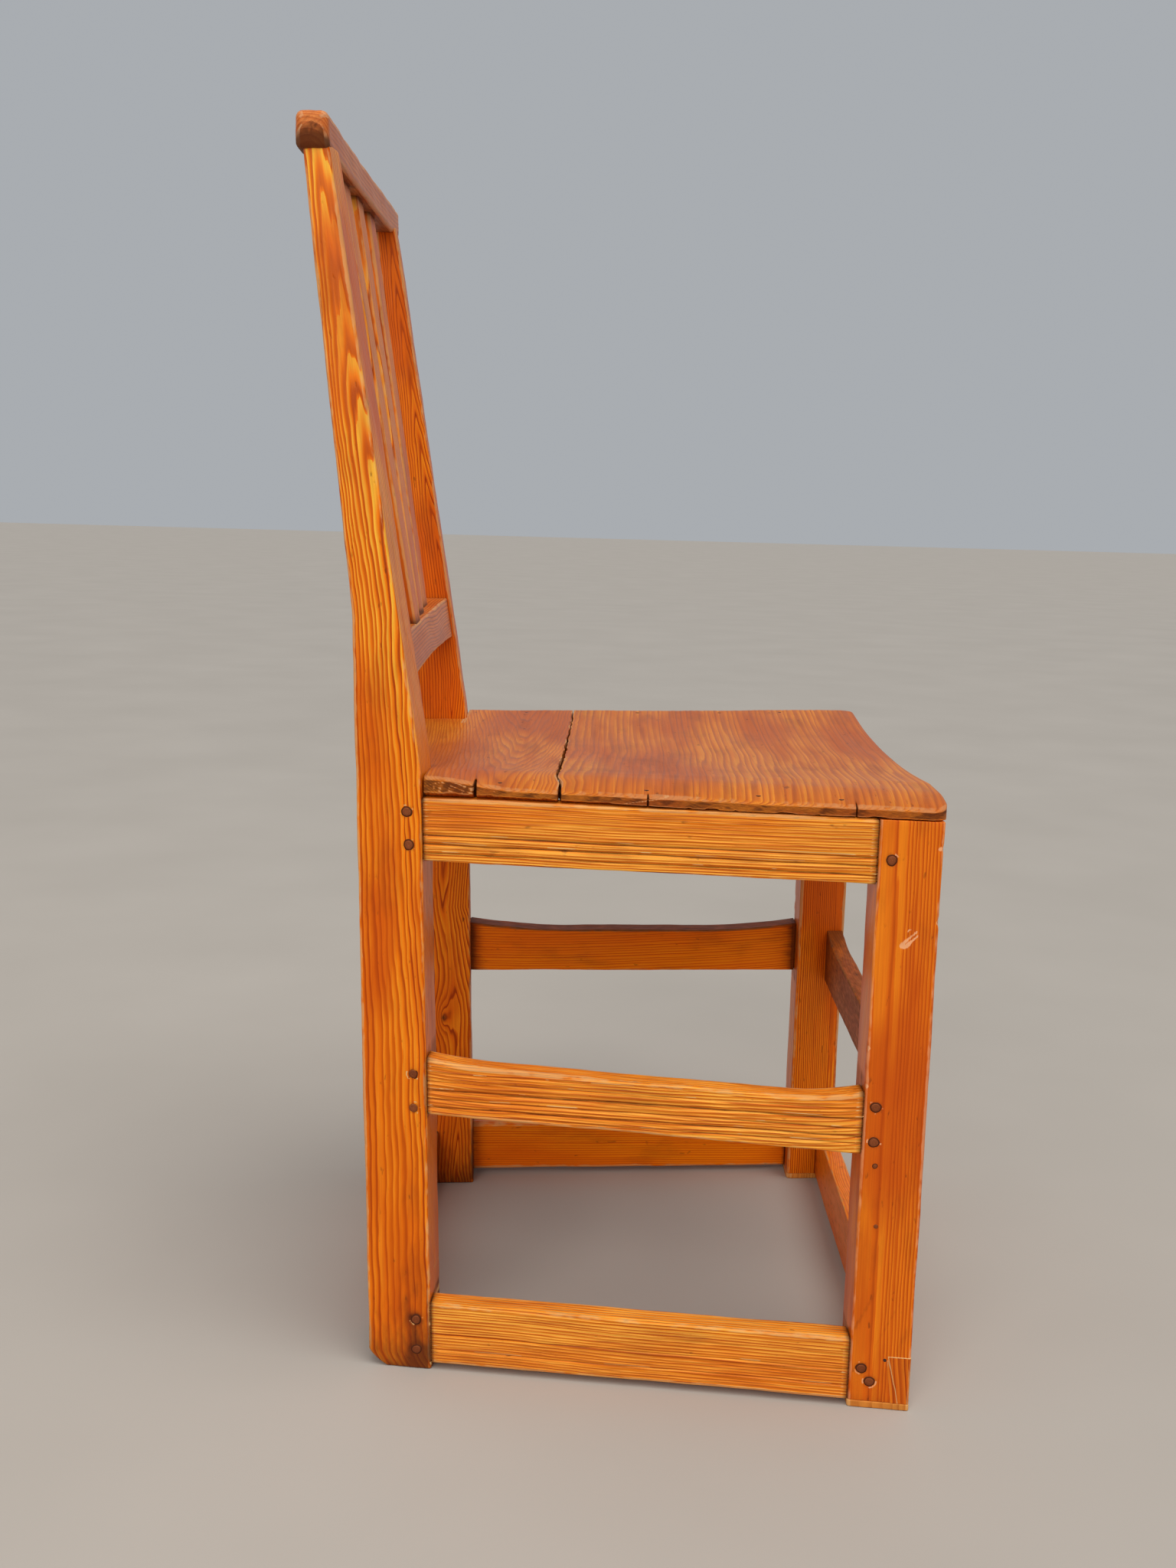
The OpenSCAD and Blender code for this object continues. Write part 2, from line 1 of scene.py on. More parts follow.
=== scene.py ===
# %% [markdown]
# # A pegged pine chair
# This lesson dresses the imported model of an old farmhouse side chair.
# Its parts are straight sticks and two boards, so nearly everything here is one idea,
# used many times: a section is carried along a stick as a grid of points.
# What makes the chair look old is on top of that: rounded arrises, grain that stands
# proud, dents, splits, grime in the joints and a worn varnish. Painted shade is laid in
# with the grime, and pale painted highlights with the wear on the arrises.

# %% Load the frame and measure it
import math
import bpy
import numpy as np
from mathutils import Matrix, Vector


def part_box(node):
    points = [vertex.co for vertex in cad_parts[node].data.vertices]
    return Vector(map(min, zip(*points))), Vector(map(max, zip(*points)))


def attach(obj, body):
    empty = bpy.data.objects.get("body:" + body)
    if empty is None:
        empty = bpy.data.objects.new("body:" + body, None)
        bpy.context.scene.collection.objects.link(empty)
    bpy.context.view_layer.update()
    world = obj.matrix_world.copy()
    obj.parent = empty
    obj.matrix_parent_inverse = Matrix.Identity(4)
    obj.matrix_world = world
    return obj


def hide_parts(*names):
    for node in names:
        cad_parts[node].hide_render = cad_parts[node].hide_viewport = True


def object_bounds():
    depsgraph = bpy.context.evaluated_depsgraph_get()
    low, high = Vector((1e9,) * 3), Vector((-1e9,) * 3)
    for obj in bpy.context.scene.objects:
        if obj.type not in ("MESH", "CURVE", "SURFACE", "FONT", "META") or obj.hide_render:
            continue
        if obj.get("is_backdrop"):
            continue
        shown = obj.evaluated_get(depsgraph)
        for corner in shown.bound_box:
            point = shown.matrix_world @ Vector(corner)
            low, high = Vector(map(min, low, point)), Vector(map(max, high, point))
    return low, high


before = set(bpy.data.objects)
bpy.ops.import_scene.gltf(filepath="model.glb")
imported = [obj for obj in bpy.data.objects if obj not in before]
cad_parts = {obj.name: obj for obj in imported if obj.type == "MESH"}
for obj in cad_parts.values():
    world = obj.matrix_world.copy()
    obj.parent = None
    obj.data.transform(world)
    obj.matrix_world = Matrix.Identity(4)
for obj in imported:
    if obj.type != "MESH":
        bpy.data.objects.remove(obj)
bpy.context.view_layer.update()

# %% [markdown]
# ## Measures
# The maker thinks in millimetres, so the shapes are worked out in millimetres and
# turned into metres when a mesh is made. Places are read from the boxes of the packed
# nodes. Only what a box can't tell, such as where a post bends, is written down here.

# %% Measures of the frame
MM = 0.001


def corners(node):
    """Lowest and highest corner of a node, in millimetres."""
    return [np.array(c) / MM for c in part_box(node)]


leg_low, leg_high = corners("front_leg_left")
post_low, post_high = corners("back_post_left")
crest_low, crest_high = corners("crest_rail")
LEG_FRONT, LEG_BACK, RAIL_TOP = leg_low[1], leg_high[1], leg_high[2]
TOE, POST_TOP, CREST_FRONT = post_low[1], crest_low[2], crest_low[1]
LEG_T, POST_D = 40.0, 45.5
LEG_D = LEG_BACK - LEG_FRONT
TOP_T, TOP_D, TOP_INSET = 30.0, 18.0, 4.5
BEND_FRONT, BEND_BACK, TAPER_START = 437.0, 541.0, 452.0
LEAN = math.tan(math.radians(1.5))
SPLAY = (leg_high[0] - post_high[0]) / (TOE - LEG_FRONT)
COS = math.cos(math.atan(SPLAY))
RIGHT, LEFT = -1, 1
SIDES = ((RIGHT, "right"), (LEFT, "left"))


def half(y):
    """Half the width at y: the sides spread towards the front in straight lines."""
    return post_high[0] + SPLAY * (TOE - y)


def soft_line(z, zs, vs, r=6.0):
    """A line of straight runs, eased at its bends by averaging over z - r to z + r."""
    return sum(np.interp(z + d, zs, vs) for d in (-r, -r / 2, 0, r / 2, r)) / 5


def raked(z, bend, foot, top, rise):
    """A face of a post: upright with a slight lean up to the bend, then raked back."""
    return soft_line(z, [-50, bend, POST_TOP, POST_TOP + 50],
        [foot - 50 * LEAN, foot + bend * LEAN, top, top + rise])


def post_front(z):
    slope = (CREST_FRONT - TOE) / (POST_TOP - BEND_FRONT)
    return raked(z, BEND_FRONT, TOE, CREST_FRONT, 50 * slope)


def post_back(z):
    """It bends higher up than the front face, so the post thins above the seat."""
    return raked(z, BEND_BACK, TOE + POST_D, CREST_FRONT + TOP_D, 6)


def post_t(z):
    """Thickness of a post, side to side."""
    return np.interp(z, [TAPER_START, POST_TOP], [LEG_T, TOP_T])


def post_inset(z):
    """How far the outer face of a post stands in from the line of the sides."""
    return np.interp(z, [TAPER_START, POST_TOP], [0.0, TOP_INSET])


def inner(y, z):
    """Half the width between the inner faces of the legs or posts."""
    return half(y) - (post_inset(z) + post_t(z)) / COS


print("splay", round(SPLAY, 4), "rail top", round(RAIL_TOP, 1), "post top", round(POST_TOP, 1))

# %% [markdown]
# ## Chance, but the same each time
# Hand work is never quite straight. Two kinds of chance do for all of it: waves, a sum
# of sines with seeded phases, for slow wandering, and jags, random values joined by
# straight lines, for torn and chipped edges. Seeds are fixed, so each run is the same.

# %% Waves and jags
def waves(x, seed, length, count=4):
    """Sum of sines whose lengths shrink from `length`, scaled to about -1 to 1."""
    rng = np.random.default_rng(seed)
    total = 0.0
    for k in range(count):
        total = total + np.sin(2 * np.pi * x * (1 + 0.83 * k) / length
            + rng.uniform(0, 2 * np.pi)) / (1 + 0.6 * k)
    return total / 2.0


def jags(x, seed, cell):
    """Random values from -1 to 1, one to each cell of x, joined by straight lines."""
    rng = np.random.default_rng(seed)
    values = rng.uniform(-1, 1, 997)
    place = np.asarray(x, float) / cell
    low = np.floor(place).astype(int)
    part = place - low
    return values[low % 997] * (1 - part) + values[(low + 1) % 997] * part


def smooth(x, low, high):
    """0 below low, 1 above high, and an S curve between."""
    t = np.clip((x - low) / (high - low), 0, 1)
    return t * t * (3 - 2 * t)


def fade(gap, reach):
    """1 at a gap of 0 or less, then e times less for each `reach` of gap."""
    return np.exp(-np.maximum(gap, 0) / reach)


def bell(x, wide):
    """1 where x is 0, falling off to both sides as a bell curve."""
    return np.exp(-(x / wide) ** 2)


def most(*values):
    """The largest of the values, point by point."""
    return np.maximum.reduce(np.broadcast_arrays(*values))


def late_wood(ring):
    """The hard dark part of each year ring: a slow rise, then a quick end."""
    part = ring - np.floor(ring)
    return smooth(part, 0.3, 0.8) * (1 - smooth(part, 0.86, 1.0))


# %% [markdown]
# ## Year rings
# Pine shows what it is by its rings, and the rings are the same thing on every face of
# a stick: cylinders round the pith, cut by the saw. So each point gets a ring number,
# its distance from the pith divided by the width of a ring. The pith may drift along the
# stick, which gives the pointed arches called cathedrals. Where the pattern is well
# known, a figure gives the number instead: a formula made for that stick. The number is
# kept on the mesh, so that shape and colour use the same rings.

# %% Ring numbers
def rings(a, b, l, seed, pith=(0, 0), width=2.0, drift=(0.0, 0.0), sway=1.2, figure=None):
    """Distance from the pith over ring width. a and b are across the stick, l along it.
    pith is its place at l = 0, drift its slope, sway its wandering, all in mm. A figure,
    a function of a, b and l, replaces all of this."""
    if figure:
        return figure(a, b, l)
    pa = pith[0] + drift[0] * l + sway * waves(l, seed, 420) + 0.25 * waves(l, seed + 1, 60)
    pb = pith[1] + drift[1] * l + sway * waves(l, seed + 2, 360) + 0.25 * waves(l, seed + 3, 75)
    r = np.hypot(a - pa, b - pb)
    r = r + 0.12 * width * waves(r * 9 + l * 0.25, seed + 4, 190)
    return r / width + 0.45 * waves(r / width, seed + 5, 13)


# %% [markdown]
# ## The stick
# A section has four faces and four rounded corners. The walk round it is worked out for
# all stations at once: corner arcs first, then each face as a straight blend between two
# arcs. Near an end the section is drawn in along a quarter circle, which rounds the end,
# and then shrinks to the middle, which closes it. A `place` function bends these plain
# section coordinates into the chair: splay, lean and rake all live there.

# %% Stations along a stick
def stations(start, end, step, ease=(1.0, 1.0), close=(), fine=0.8):
    """Places along a stick, how far the section is drawn in there, and its scale.
    close lists (place, reach): around each the stations stand `fine` apart."""
    run = [np.arange(start + ease[0], end - ease[1], step)] + [
        np.arange(middle - reach, middle + reach + fine, fine) for middle, reach in close]
    run = np.unique(np.round(np.concatenate(run), 3))
    run = run[(run > start + ease[0] + 0.02) & (run < end - ease[1] - 0.02)]
    turn = np.radians([0, 22, 45, 67, 90])
    caps = np.array([0.03, 0.2, 0.4, 0.6, 0.78, 0.92])
    flat, full = 0 * caps, 1 + 0 * turn
    l = np.concatenate([flat + start, start + ease[0] * (1 - np.cos(turn)), run,
        (end - ease[1] * (1 - np.cos(turn)))[::-1], flat + end])
    drawn = np.concatenate([flat + ease[0], ease[0] * (1 - np.sin(turn)), 0 * run,
        (ease[1] * (1 - np.sin(turn)))[::-1], flat + ease[1]])
    scale = np.concatenate([caps, full, 1 + 0 * run, full, caps[::-1]])
    return l, drawn, scale


# %% The walk round a section
ARC = 5


def walk(box, radii, counts):
    """Points, outward directions, face numbers and distance to the nearest arris.
    box is a0, a1, b0, b1 for each station. The faces are 0: a0, 1: b1, 2: a1, 3: b0,
    and 4 to 7 are the arcs that follow them."""
    a0, a1, b0, b1 = (np.asarray(v, float)[:, None] for v in box)
    ends = [(a0, 1, b1, -1, 180), (a1, -1, b1, -1, 90), (a1, -1, b0, 1, 0), (a0, 1, b0, 1, -90)]
    arcs, turns = [], []
    for (ca, sa, cb, sb, angle), r in zip(ends, radii):
        r = np.asarray(r, float).reshape(-1, 1)
        turn = np.radians(angle - np.linspace(0, 90, ARC))
        arcs.append(np.stack([ca + r * (sa + np.cos(turn)), cb + r * (sb + np.sin(turn))], -1))
        turns.append(np.stack([np.cos(turn), np.sin(turn)], -1))
    flat = np.array([[-1, 0], [0, 1], [1, 0], [0, -1]], float)
    points, outward, face, edge = [], [], [], []
    for k, count in enumerate(counts):
        share = (np.arange(count) + 1.0) / (count + 1)
        first, last = arcs[k - 1][:, -1:], arcs[k][:, :1]
        side = first + (last - first) * share[None, :, None]
        length = np.linalg.norm(last - first, axis=-1)
        points += [side, arcs[k]]
        outward += [np.repeat(flat[k:k + 1], count, 0), turns[k]]
        face += [np.full(count, k), np.full(ARC, k + 4)]
        edge += [length * np.minimum(share, 1 - share)[None], np.zeros((len(a0), ARC))]
    return (np.concatenate(points, 1), np.concatenate(outward), np.concatenate(face),
        np.concatenate(edge, 1))


# %% Turn grids of points into one closed mesh
def put(name, data):
    """A new object of the scene, which shows the data."""
    made = bpy.data.objects.new(name, data)
    bpy.context.scene.collection.objects.link(made)
    return made


def capped(values):
    """The values of a grid in one list, then the means of its first and last rows."""
    v = values.reshape(*values.shape[:2], -1)
    return np.concatenate([v.reshape(-1, v.shape[2]), v[:1].mean(1), v[-1:].mean(1)])


def joined(rows, cols):
    """Quads between neighbouring rows, and triangles to a point beyond each end."""
    i, j = np.meshgrid(np.arange(rows - 1), np.arange(cols), indexing="ij")
    k = (j + 1) % cols
    quads = np.stack([i * cols + j, i * cols + k, (i + 1) * cols + k, (i + 1) * cols + j], -1)
    j, k, last, tip = j[0], k[0], (rows - 1) * cols, rows * cols + 0 * j[0]
    return quads.reshape(-1, 4), np.concatenate([np.stack([k, j, tip], -1),
        np.stack([j + last, k + last, tip + 1], -1)])


def closed_mesh(name, parts, material, node):
    """Makes one mesh of closed grids and hands it over. parts lists (grid, data), and
    data maps an attribute's name to its values, one or three to each point."""
    points, quads, fans, values, count = [], [], [], {}, 0
    for grid, data in parts:
        for made, into in zip(joined(*grid.shape[:2]), (quads, fans)):
            into.append(made + count)
        points.append(capped(grid))
        for key, v in data.items():
            values.setdefault(key, []).append(capped(v))
        count += len(points[-1])
    p, quads, fans = (np.concatenate(v) for v in (points, quads, fans))
    volume = sum((np.cross(p[t[:, 0]], p[t[:, 1]]) * p[t[:, 2]]).sum()
        for t in (quads[:, [0, 1, 2]], quads[:, [0, 2, 3]], fans))
    if volume < 0:
        quads, fans = quads[:, ::-1], fans[:, ::-1]
    mesh = bpy.data.meshes.new(name)
    mesh.vertices.add(len(p))
    mesh.vertices.foreach_set("co", (p * MM).astype(np.float32).ravel())
    mesh.loops.add(quads.size + fans.size)
    mesh.loops.foreach_set("vertex_index",
        np.concatenate([quads.ravel(), fans.ravel()]).astype(np.int32))
    sizes = np.concatenate([np.full(len(quads), 4), np.full(len(fans), 3)])
    mesh.polygons.add(len(sizes))
    mesh.polygons.foreach_set("loop_start", (np.cumsum(sizes) - sizes).astype(np.int32))
    mesh.polygons.foreach_set("use_smooth", np.ones(len(sizes), bool))
    mesh.update(calc_edges=True)
    for key, v in values.items():
        v = np.concatenate(v)
        kind, field = ("FLOAT", "value") if v.shape[1] == 1 else ("FLOAT_VECTOR", "vector")
        made = mesh.attributes.new(key, kind, "POINT")
        made.data.foreach_set(field, v.astype(np.float32).ravel())
    mesh.materials.append(bpy.data.materials["finish_" + material])
    piece = put(name, mesh)
    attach(piece, "root")
    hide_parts(node)
    print(name, len(p), "points")


# %% The stick itself
def stick(name, along, box, place, grain, material, node, counts, radii,
        relief=None, marks=None, tilt=0.15, across=False):
    """One timber. box(l) gives a0, a1, b0, b1; place(a, b, l) gives x, y, z; grain holds
    the words for rings(). relief and marks take the face, a, b, l and the ring: relief
    gives how far the surface stands out in mm, marks gives (grime with painted shade,
    raw wood). counts are the points on each face, radii the four arrises. The third
    number of `board` runs with the grain, and `across` says that the grain runs across, as in
    the seat."""
    l, drawn, scale = along
    a0, a1, b0, b1 = (np.asarray(v, float) + 0 * l for v in box(l))
    ma, mb = (a0 + a1) / 2, (b0 + b1) / 2
    ha, hb = ((a1 - a0) / 2 - drawn) * scale, ((b1 - b0) / 2 - drawn) * scale
    round_at = [np.minimum(np.maximum(np.asarray(r) - drawn, 0.3) * scale,
        0.45 * np.minimum(ha, hb)) for r in radii]
    points, outward, face, edge = walk((ma - ha, ma + ha, mb - hb, mb + hb), round_at, counts)
    a, b = points[..., 0], points[..., 1]
    ll = np.repeat(l[:, None], a.shape[1], 1)
    section = (a - ma[:, None], b - mb[:, None])
    ring = rings(*section, ll, **grain)
    out = tilt * waves(ll, grain["seed"] + 7, 260) + 0.5 * tilt * waves(
        ll + 3 * a + 2 * b, grain["seed"] + 8, 70)
    if relief:
        out = out + relief(face[None, :] + 0 * ll, a, b, ll, ring)
    out = out * np.where(scale < 1, 0, 1)[:, None]
    a, b = a + out * outward[None, :, 0], b + out * outward[None, :, 1]
    grid = np.stack(np.broadcast_arrays(*place(a, b, ll)), -1)
    grime_and_shade, raw = marks(face[None, :] + 0 * ll, a, b, ll, ring) if marks else (0.0, 0.0)
    # Nearness to an arris: the varnish is worn there, and the paler colour it gets there is
    # also a painted highlight on the edge.
    worn = fade(edge, 1.3) * np.where(scale < 1, 0.2, 1)[:, None]
    shift = grain["seed"] * 0.37
    board = (ll, section[1], section[0]) if across else (*section, ll)
    data = {"ring": ring, "board": np.stack(board, -1) * MM + np.array([shift, 0, 0]),
        "wear": np.stack(np.broadcast_arrays(worn, grime_and_shade, raw), -1)}
    closed_mesh(name, [(grid, data)], material, node)


# %% [markdown]
# ## A wire to write shader maths with
# Materials are graphs of nodes, but arithmetic reads better as arithmetic. `Wire` holds
# one socket and turns +, - and * into Math nodes.
# `Finish` owns a material, and one method makes every other node: type, settings, sockets.

# %% Wires and finishes
class Wire:
    """A socket with arithmetic."""

    def __init__(self, finish, socket):
        self.finish, self.socket = finish, socket

    def maths(self, operation, first, second=None):
        sockets = {0: first} if second is None else {0: first, 1: second}
        return self.finish.node("ShaderNodeMath", {"operation": operation}, sockets)

    def __add__(self, other):
        return self.maths("ADD", self, other)

    __radd__ = __add__

    def __sub__(self, other):
        return self.maths("SUBTRACT", self, other)

    def __mul__(self, other):
        return self.maths("MULTIPLY", self, other)

    def whole(self):
        return self.maths("FLOOR", self)

    def part(self):
        return self.maths("FRACT", self)


def tone(red, green, blue):
    """A colour named by its eight-bit sRGB values, as the linear light Blender wants."""
    c = np.array([red, green, blue]) / 255
    c = np.where(c <= 0.04045, c / 12.92, ((c + 0.055) / 1.055) ** 2.4)
    return (*c.tolist(), 1.0)


class Finish:
    """A material and its nodes."""

    def __init__(self, name):
        self.material = bpy.data.materials.new("finish_" + name)
        self.material.use_nodes = True
        self.tree = self.material.node_tree
        self.shader = self.tree.nodes["Principled BSDF"]

    def node(self, kind, settings=None, sockets=None, out=0):
        """Makes a node and gives it its settings, then its sockets."""
        made = self.tree.nodes.new(kind)
        for key, value in (settings or {}).items():
            setattr(made, key, value)
        for key, value in (sockets or {}).items():
            self.join(value, made.inputs[key])
        return Wire(self, made.outputs[out])

    def join(self, value, socket):
        if isinstance(value, Wire):
            self.tree.links.new(value.socket, socket)
        else:
            socket.default_value = value

    def attribute(self, name, out="Fac"):
        return self.node("ShaderNodeAttribute", {"attribute_name": name}, out=out)

    def noise(self, vector, scale, detail=2.0, rough=0.5):
        """Noise stretched by one scale to each direction, from 0 to 1."""
        scaled = self.node("ShaderNodeVectorMath", {"operation": "MULTIPLY"},
            {0: vector, 1: scale})
        return self.node("ShaderNodeTexNoise", {"noise_dimensions": "3D"},
            {"Vector": scaled, "Scale": 1.0, "Detail": detail, "Roughness": rough})

    def ease(self, value, low, high, start=0.0, end=1.0):
        """An S curve from start to end while value goes from low to high."""
        return self.node("ShaderNodeMapRange", {"interpolation_type": "SMOOTHSTEP"},
            {"Value": value, "From Min": low, "From Max": high, "To Min": start,
                "To Max": end})

    def mix(self, factor, first, second):
        return self.node("ShaderNodeMix", {"data_type": "RGBA"},
            {0: factor, 6: first, 7: second}, out=2)

    def end(self, sockets):
        for key, value in sockets.items():
            self.join(value, self.shader.inputs[key])


# %% [markdown]
# ## Varnished pine
# Old pine under varnish is four things on top of each other: pale soft wood and dark
# hard wood that take turns in each ring; fibres that streak along the grain; varnish that
# has gone amber, thick in the hollows and thin on the arrises; and damage, where grime
# has filled the joints or bare wood shows. The grime also carries painted shade, and the
# paler arrises are partly a painted highlight. All read the ring number and the board's
# own coordinates, so that a pattern stays with its stick. The hard wood also stands
# proud, so the same value feeds the bump.

# %% The pine finish
# The dark colour of grime, which also paints shade into joints, feet and undersides; the veil
# and the specks use it too.
GRIME_AND_SHADE = tone(66, 25, 14)


def pine(name, pale, soft, hard, deep, strength=1.0, blotch=0.5, gloss=0.36,
        bare=(224, 178, 116), wobble=0.12, mirror=0.35, crisp=0.3, bleached=None,
        streak=0.0):
    """Each ring goes from pale to soft to hard; deep is where the varnish lies thick.
    bleached says between which heights, in metres, the pale comes out fully, and streak
    how strongly weathered fibres show, dark and pale. Colours are sRGB, out of 255."""
    f = Finish(name)
    pale, soft, hard, deep, bare = (tone(*c) for c in (pale, soft, hard, deep, bare))
    board = f.attribute("board", "Vector")
    wear = f.node("ShaderNodeSeparateXYZ", {}, {0: f.attribute("wear", "Vector")})
    edge, grime_and_shade, raw = (Wire(f, o) for o in wear.socket.node.outputs)
    fibre = f.noise(board, (900.0, 900.0, 16.0), 3.0, 0.6)
    drift = f.noise(board, (70.0, 70.0, 9.0), 2.0)
    cloud = f.noise(board, (16.0, 16.0, 5.0), 3.0)
    speck = f.noise(board, (260.0, 260.0, 90.0), 2.0)
    number = f.attribute("ring") + (drift - 0.5) * (2 * wobble) + (fibre - 0.5) * 0.16
    part, whole = number.part(), number.whole()
    chance = f.node("ShaderNodeTexWhiteNoise", {"noise_dimensions": "1D"}, {"W": whole})
    start = crisp + chance * 0.3
    late = f.ease(part, start, 0.84) * f.ease(part, 0.88, 1.0, 1.0, 0.0)
    late = late * (0.5 + chance * 0.5)
    early = f.ease(part, 0.05, 0.6, 1.0, 0.0) * f.ease(cloud, 0.62, 0.42, 0.15, 1.0)
    if bleached:
        along = f.node("ShaderNodeSeparateXYZ", {}, {0: board}, out=2)
        early = early * f.ease(along, *bleached, 0.3, 1.0)
    colour = f.mix(early, soft, pale)
    colour = f.mix(f.ease(cloud, 0.42, 0.66) * blotch, colour, deep)
    colour = f.mix(f.ease(drift, 0.54, 0.7) * (blotch * 0.6), colour, deep)
    colour = f.mix(late * strength, colour, hard)
    veil = f.noise(board, (48.0, 48.0, 17.0), 4.0, 0.6)
    colour = f.mix(f.ease(veil, 0.5, 0.72, 0.0, 0.2), colour, GRIME_AND_SHADE)
    colour = f.mix(f.ease(fibre, 0.25, 0.75, 0.30, 0.0), colour, hard)
    if streak:
        colour = f.mix(f.ease(fibre, 0.3, 0.48, streak, 0.0), colour, hard)
        colour = f.mix(f.ease(fibre, 0.5, 0.66, 0.0, streak), colour, pale)
    colour = f.mix(f.ease(speck, 0.68, 0.78, 0.0, 0.5), colour, GRIME_AND_SHADE)
    # Arrises turn paler towards bare wood: worn varnish, and also a painted highlight along the
    # edges.
    rub_and_highlight = f.ease(edge + (speck - 0.5) * 1.2 + (cloud - 0.5) * 1.4, 0.75, 1.15)
    colour = f.mix(rub_and_highlight * 0.5, colour, bare)
    # Grime and painted shade from the marks both darken towards the grime colour.
    dirt_and_shade = f.ease(grime_and_shade + (speck - 0.5) * 0.5, 0.15, 0.95)
    colour = f.mix(dirt_and_shade * 0.85, colour, GRIME_AND_SHADE)
    flesh = f.ease(raw + (fibre - 0.5) * 0.6, 0.42, 0.58)
    colour = f.mix(flesh, colour, bare)
    rough = gloss + (drift - 0.5) * 0.12 - late * 0.05 + rub_and_highlight * 0.15 + dirt_and_shade * 0.25 + flesh * 0.3
    height = late * 0.5 + fibre * 0.35 + f.ease(speck, 0.64, 0.74, 0.0, -0.6)
    bump = f.node("ShaderNodeBump", {}, {"Strength": 0.55, "Distance": 0.0003,
        "Height": height})
    f.end({"Base Color": colour, "Roughness": rough, "Normal": bump,
        "Specular Tint": (1.0, 0.62, 0.3, 1.0), "Specular IOR Level": mirror})
    print("finish", name)


# %% The pine of each kind of timber, and copies coloured with painted shade
pine("post_pine", (255, 196, 62), (248, 124, 4), (158, 48, 4), (202, 74, 6),
    blotch=0.62, bleached=(0.38, 0.60), wobble=0.15)
pine("leg_pine", (242, 132, 24), (226, 104, 14), (156, 48, 6), (190, 70, 10),
    strength=0.65, blotch=0.7, bare=(238, 166, 116))
pine("rail_pine", (255, 184, 72), (255, 142, 28), (136, 38, 4), (222, 98, 14),
    blotch=0.35, wobble=0.08, crisp=0.45, streak=0.5)
pine("slat_pine", (255, 172, 60), (250, 130, 30), (164, 60, 16), (216, 90, 20))
# The next two are copies of the same pine, coloured as the far side and the members under the
# seat look in shade: painted shade, not a different wood.
pine("far_pine_painted_shade", (255, 150, 24), (240, 112, 10), (150, 44, 6), (206, 76, 8))
pine("cross_pine_painted_shade", (255, 146, 8), (255, 130, 4), (210, 82, 4), (240, 102, 4))
pine("back_pine", (228, 138, 62), (216, 112, 42), (146, 60, 24), (180, 84, 36))
pine("crest_pine", (228, 140, 70), (214, 116, 52), (146, 60, 28), (178, 84, 42),
    strength=0.45, bare=(222, 178, 134))
pine("seat_pine", (226, 136, 38), (214, 114, 28), (128, 52, 20), (186, 84, 24),
    strength=0.45, blotch=0.75, gloss=0.44, bare=(200, 140, 92), mirror=0.3, wobble=0.05)

# %% [markdown]
# ## Where the pegs are
# Each joint is held by whittled pegs. The frame already holds them, many solids to a
# node, so their places are found there: vertices that triangles join are one peg.

# %% Find the pegs, plugs and nails in the frame
def vertices(node):
    """The vertices of a node, in millimetres."""
    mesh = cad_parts[node].data
    points = np.empty(len(mesh.vertices) * 3, np.float32)
    mesh.vertices.foreach_get("co", points)
    return points.reshape(-1, 3).astype(float) / MM


def clusters(node):
    """The lowest and highest corner of each separate solid of a node. Each vertex takes
    the lowest label in its triangles until no label changes."""
    points, mesh = vertices(node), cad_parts[node].data
    loops = np.empty(len(mesh.loops), np.int32)
    mesh.loops.foreach_get("vertex_index", loops)
    key = np.unique(np.round(points, 2), axis=0, return_inverse=True)[1].ravel()
    tris = key[loops].reshape(-1, 3)
    label, before = np.arange(key.max() + 1), None
    while before is None or (label != before).any():
        before = label.copy()
        np.minimum.at(label, tris.ravel(), np.repeat(before[tris].min(1), 3))
    solids = (points[label[key] == group] for group in np.unique(label))
    return [(p.min(0), p.max(0)) for p in solids]


def centres(boxes, i, j):
    """Coordinates i and j of the middle of each box."""
    return [((lo[i] + hi[i]) / 2, (lo[j] + hi[j]) / 2) for lo, hi in boxes]


peg_boxes = {side: clusters("side_pegs_" + word) for side, word in SIDES}
print("pegs to a side:", len(peg_boxes[RIGHT]))

# %% [markdown]
# ## Back posts
# Each post is sawn from one plank: upright to the seat, then raked back, and thinner as
# it rises. The grain runs straight up the plank, so the raked part cuts across it and
# shows tall pointed arches. Joints carry grime, the foot darkens towards the floor with
# dirt and painted shade, and the pegs have bruised the wood around them. The right heel
# is worn away.

# %% Marks round the joints of a post or leg
JOINTS = ((376, 420), (191, 239), (5, 51))


def at_joints(l):
    """1 at the heights where rails and stretchers meet an upright."""
    return sum(smooth(l, low - 3, low) * (1 - smooth(l, high, high + 3))
        for low, high in JOINTS)


def spots(u, v, places, reach):
    """1 at each of the places, falling off as a bell curve in u and v."""
    total = 0 * u
    for pu, pv in places:
        total = most(total, bell(np.hypot(u - pu, v - pv), reach))
    return total


def chewed(u, v, places, seed):
    """1 in torn patches of a ring round each place, where its hole was knocked out."""
    total = 0 * u
    for n, (pu, pv) in enumerate(places):
        far, turn = np.hypot(u - pu, v - pv), np.arctan2(v - pv, u - pu)
        patch = smooth(jags(turn + 9 * n, seed, 0.8), 0.25, 0.5)
        total = most(total, patch * bell(far - 4.6, 1.0))
    return total


def upright_place(side, turn=0.0):
    """Section a runs in from the outer face, b runs back, l runs up. The posts are
    turned a little, which brings the inner edge of the front face forward."""
    return lambda a, b, l: (side * (half(b) - (post_inset(l) + a) / COS), b - turn * a, l)


def heel_loss(z, side):
    """How much of the back corner is worn off at the foot."""
    return (13.0 if side == RIGHT else 3.0) * np.clip(1 - z / 12.5, 0, 1) ** 1.4


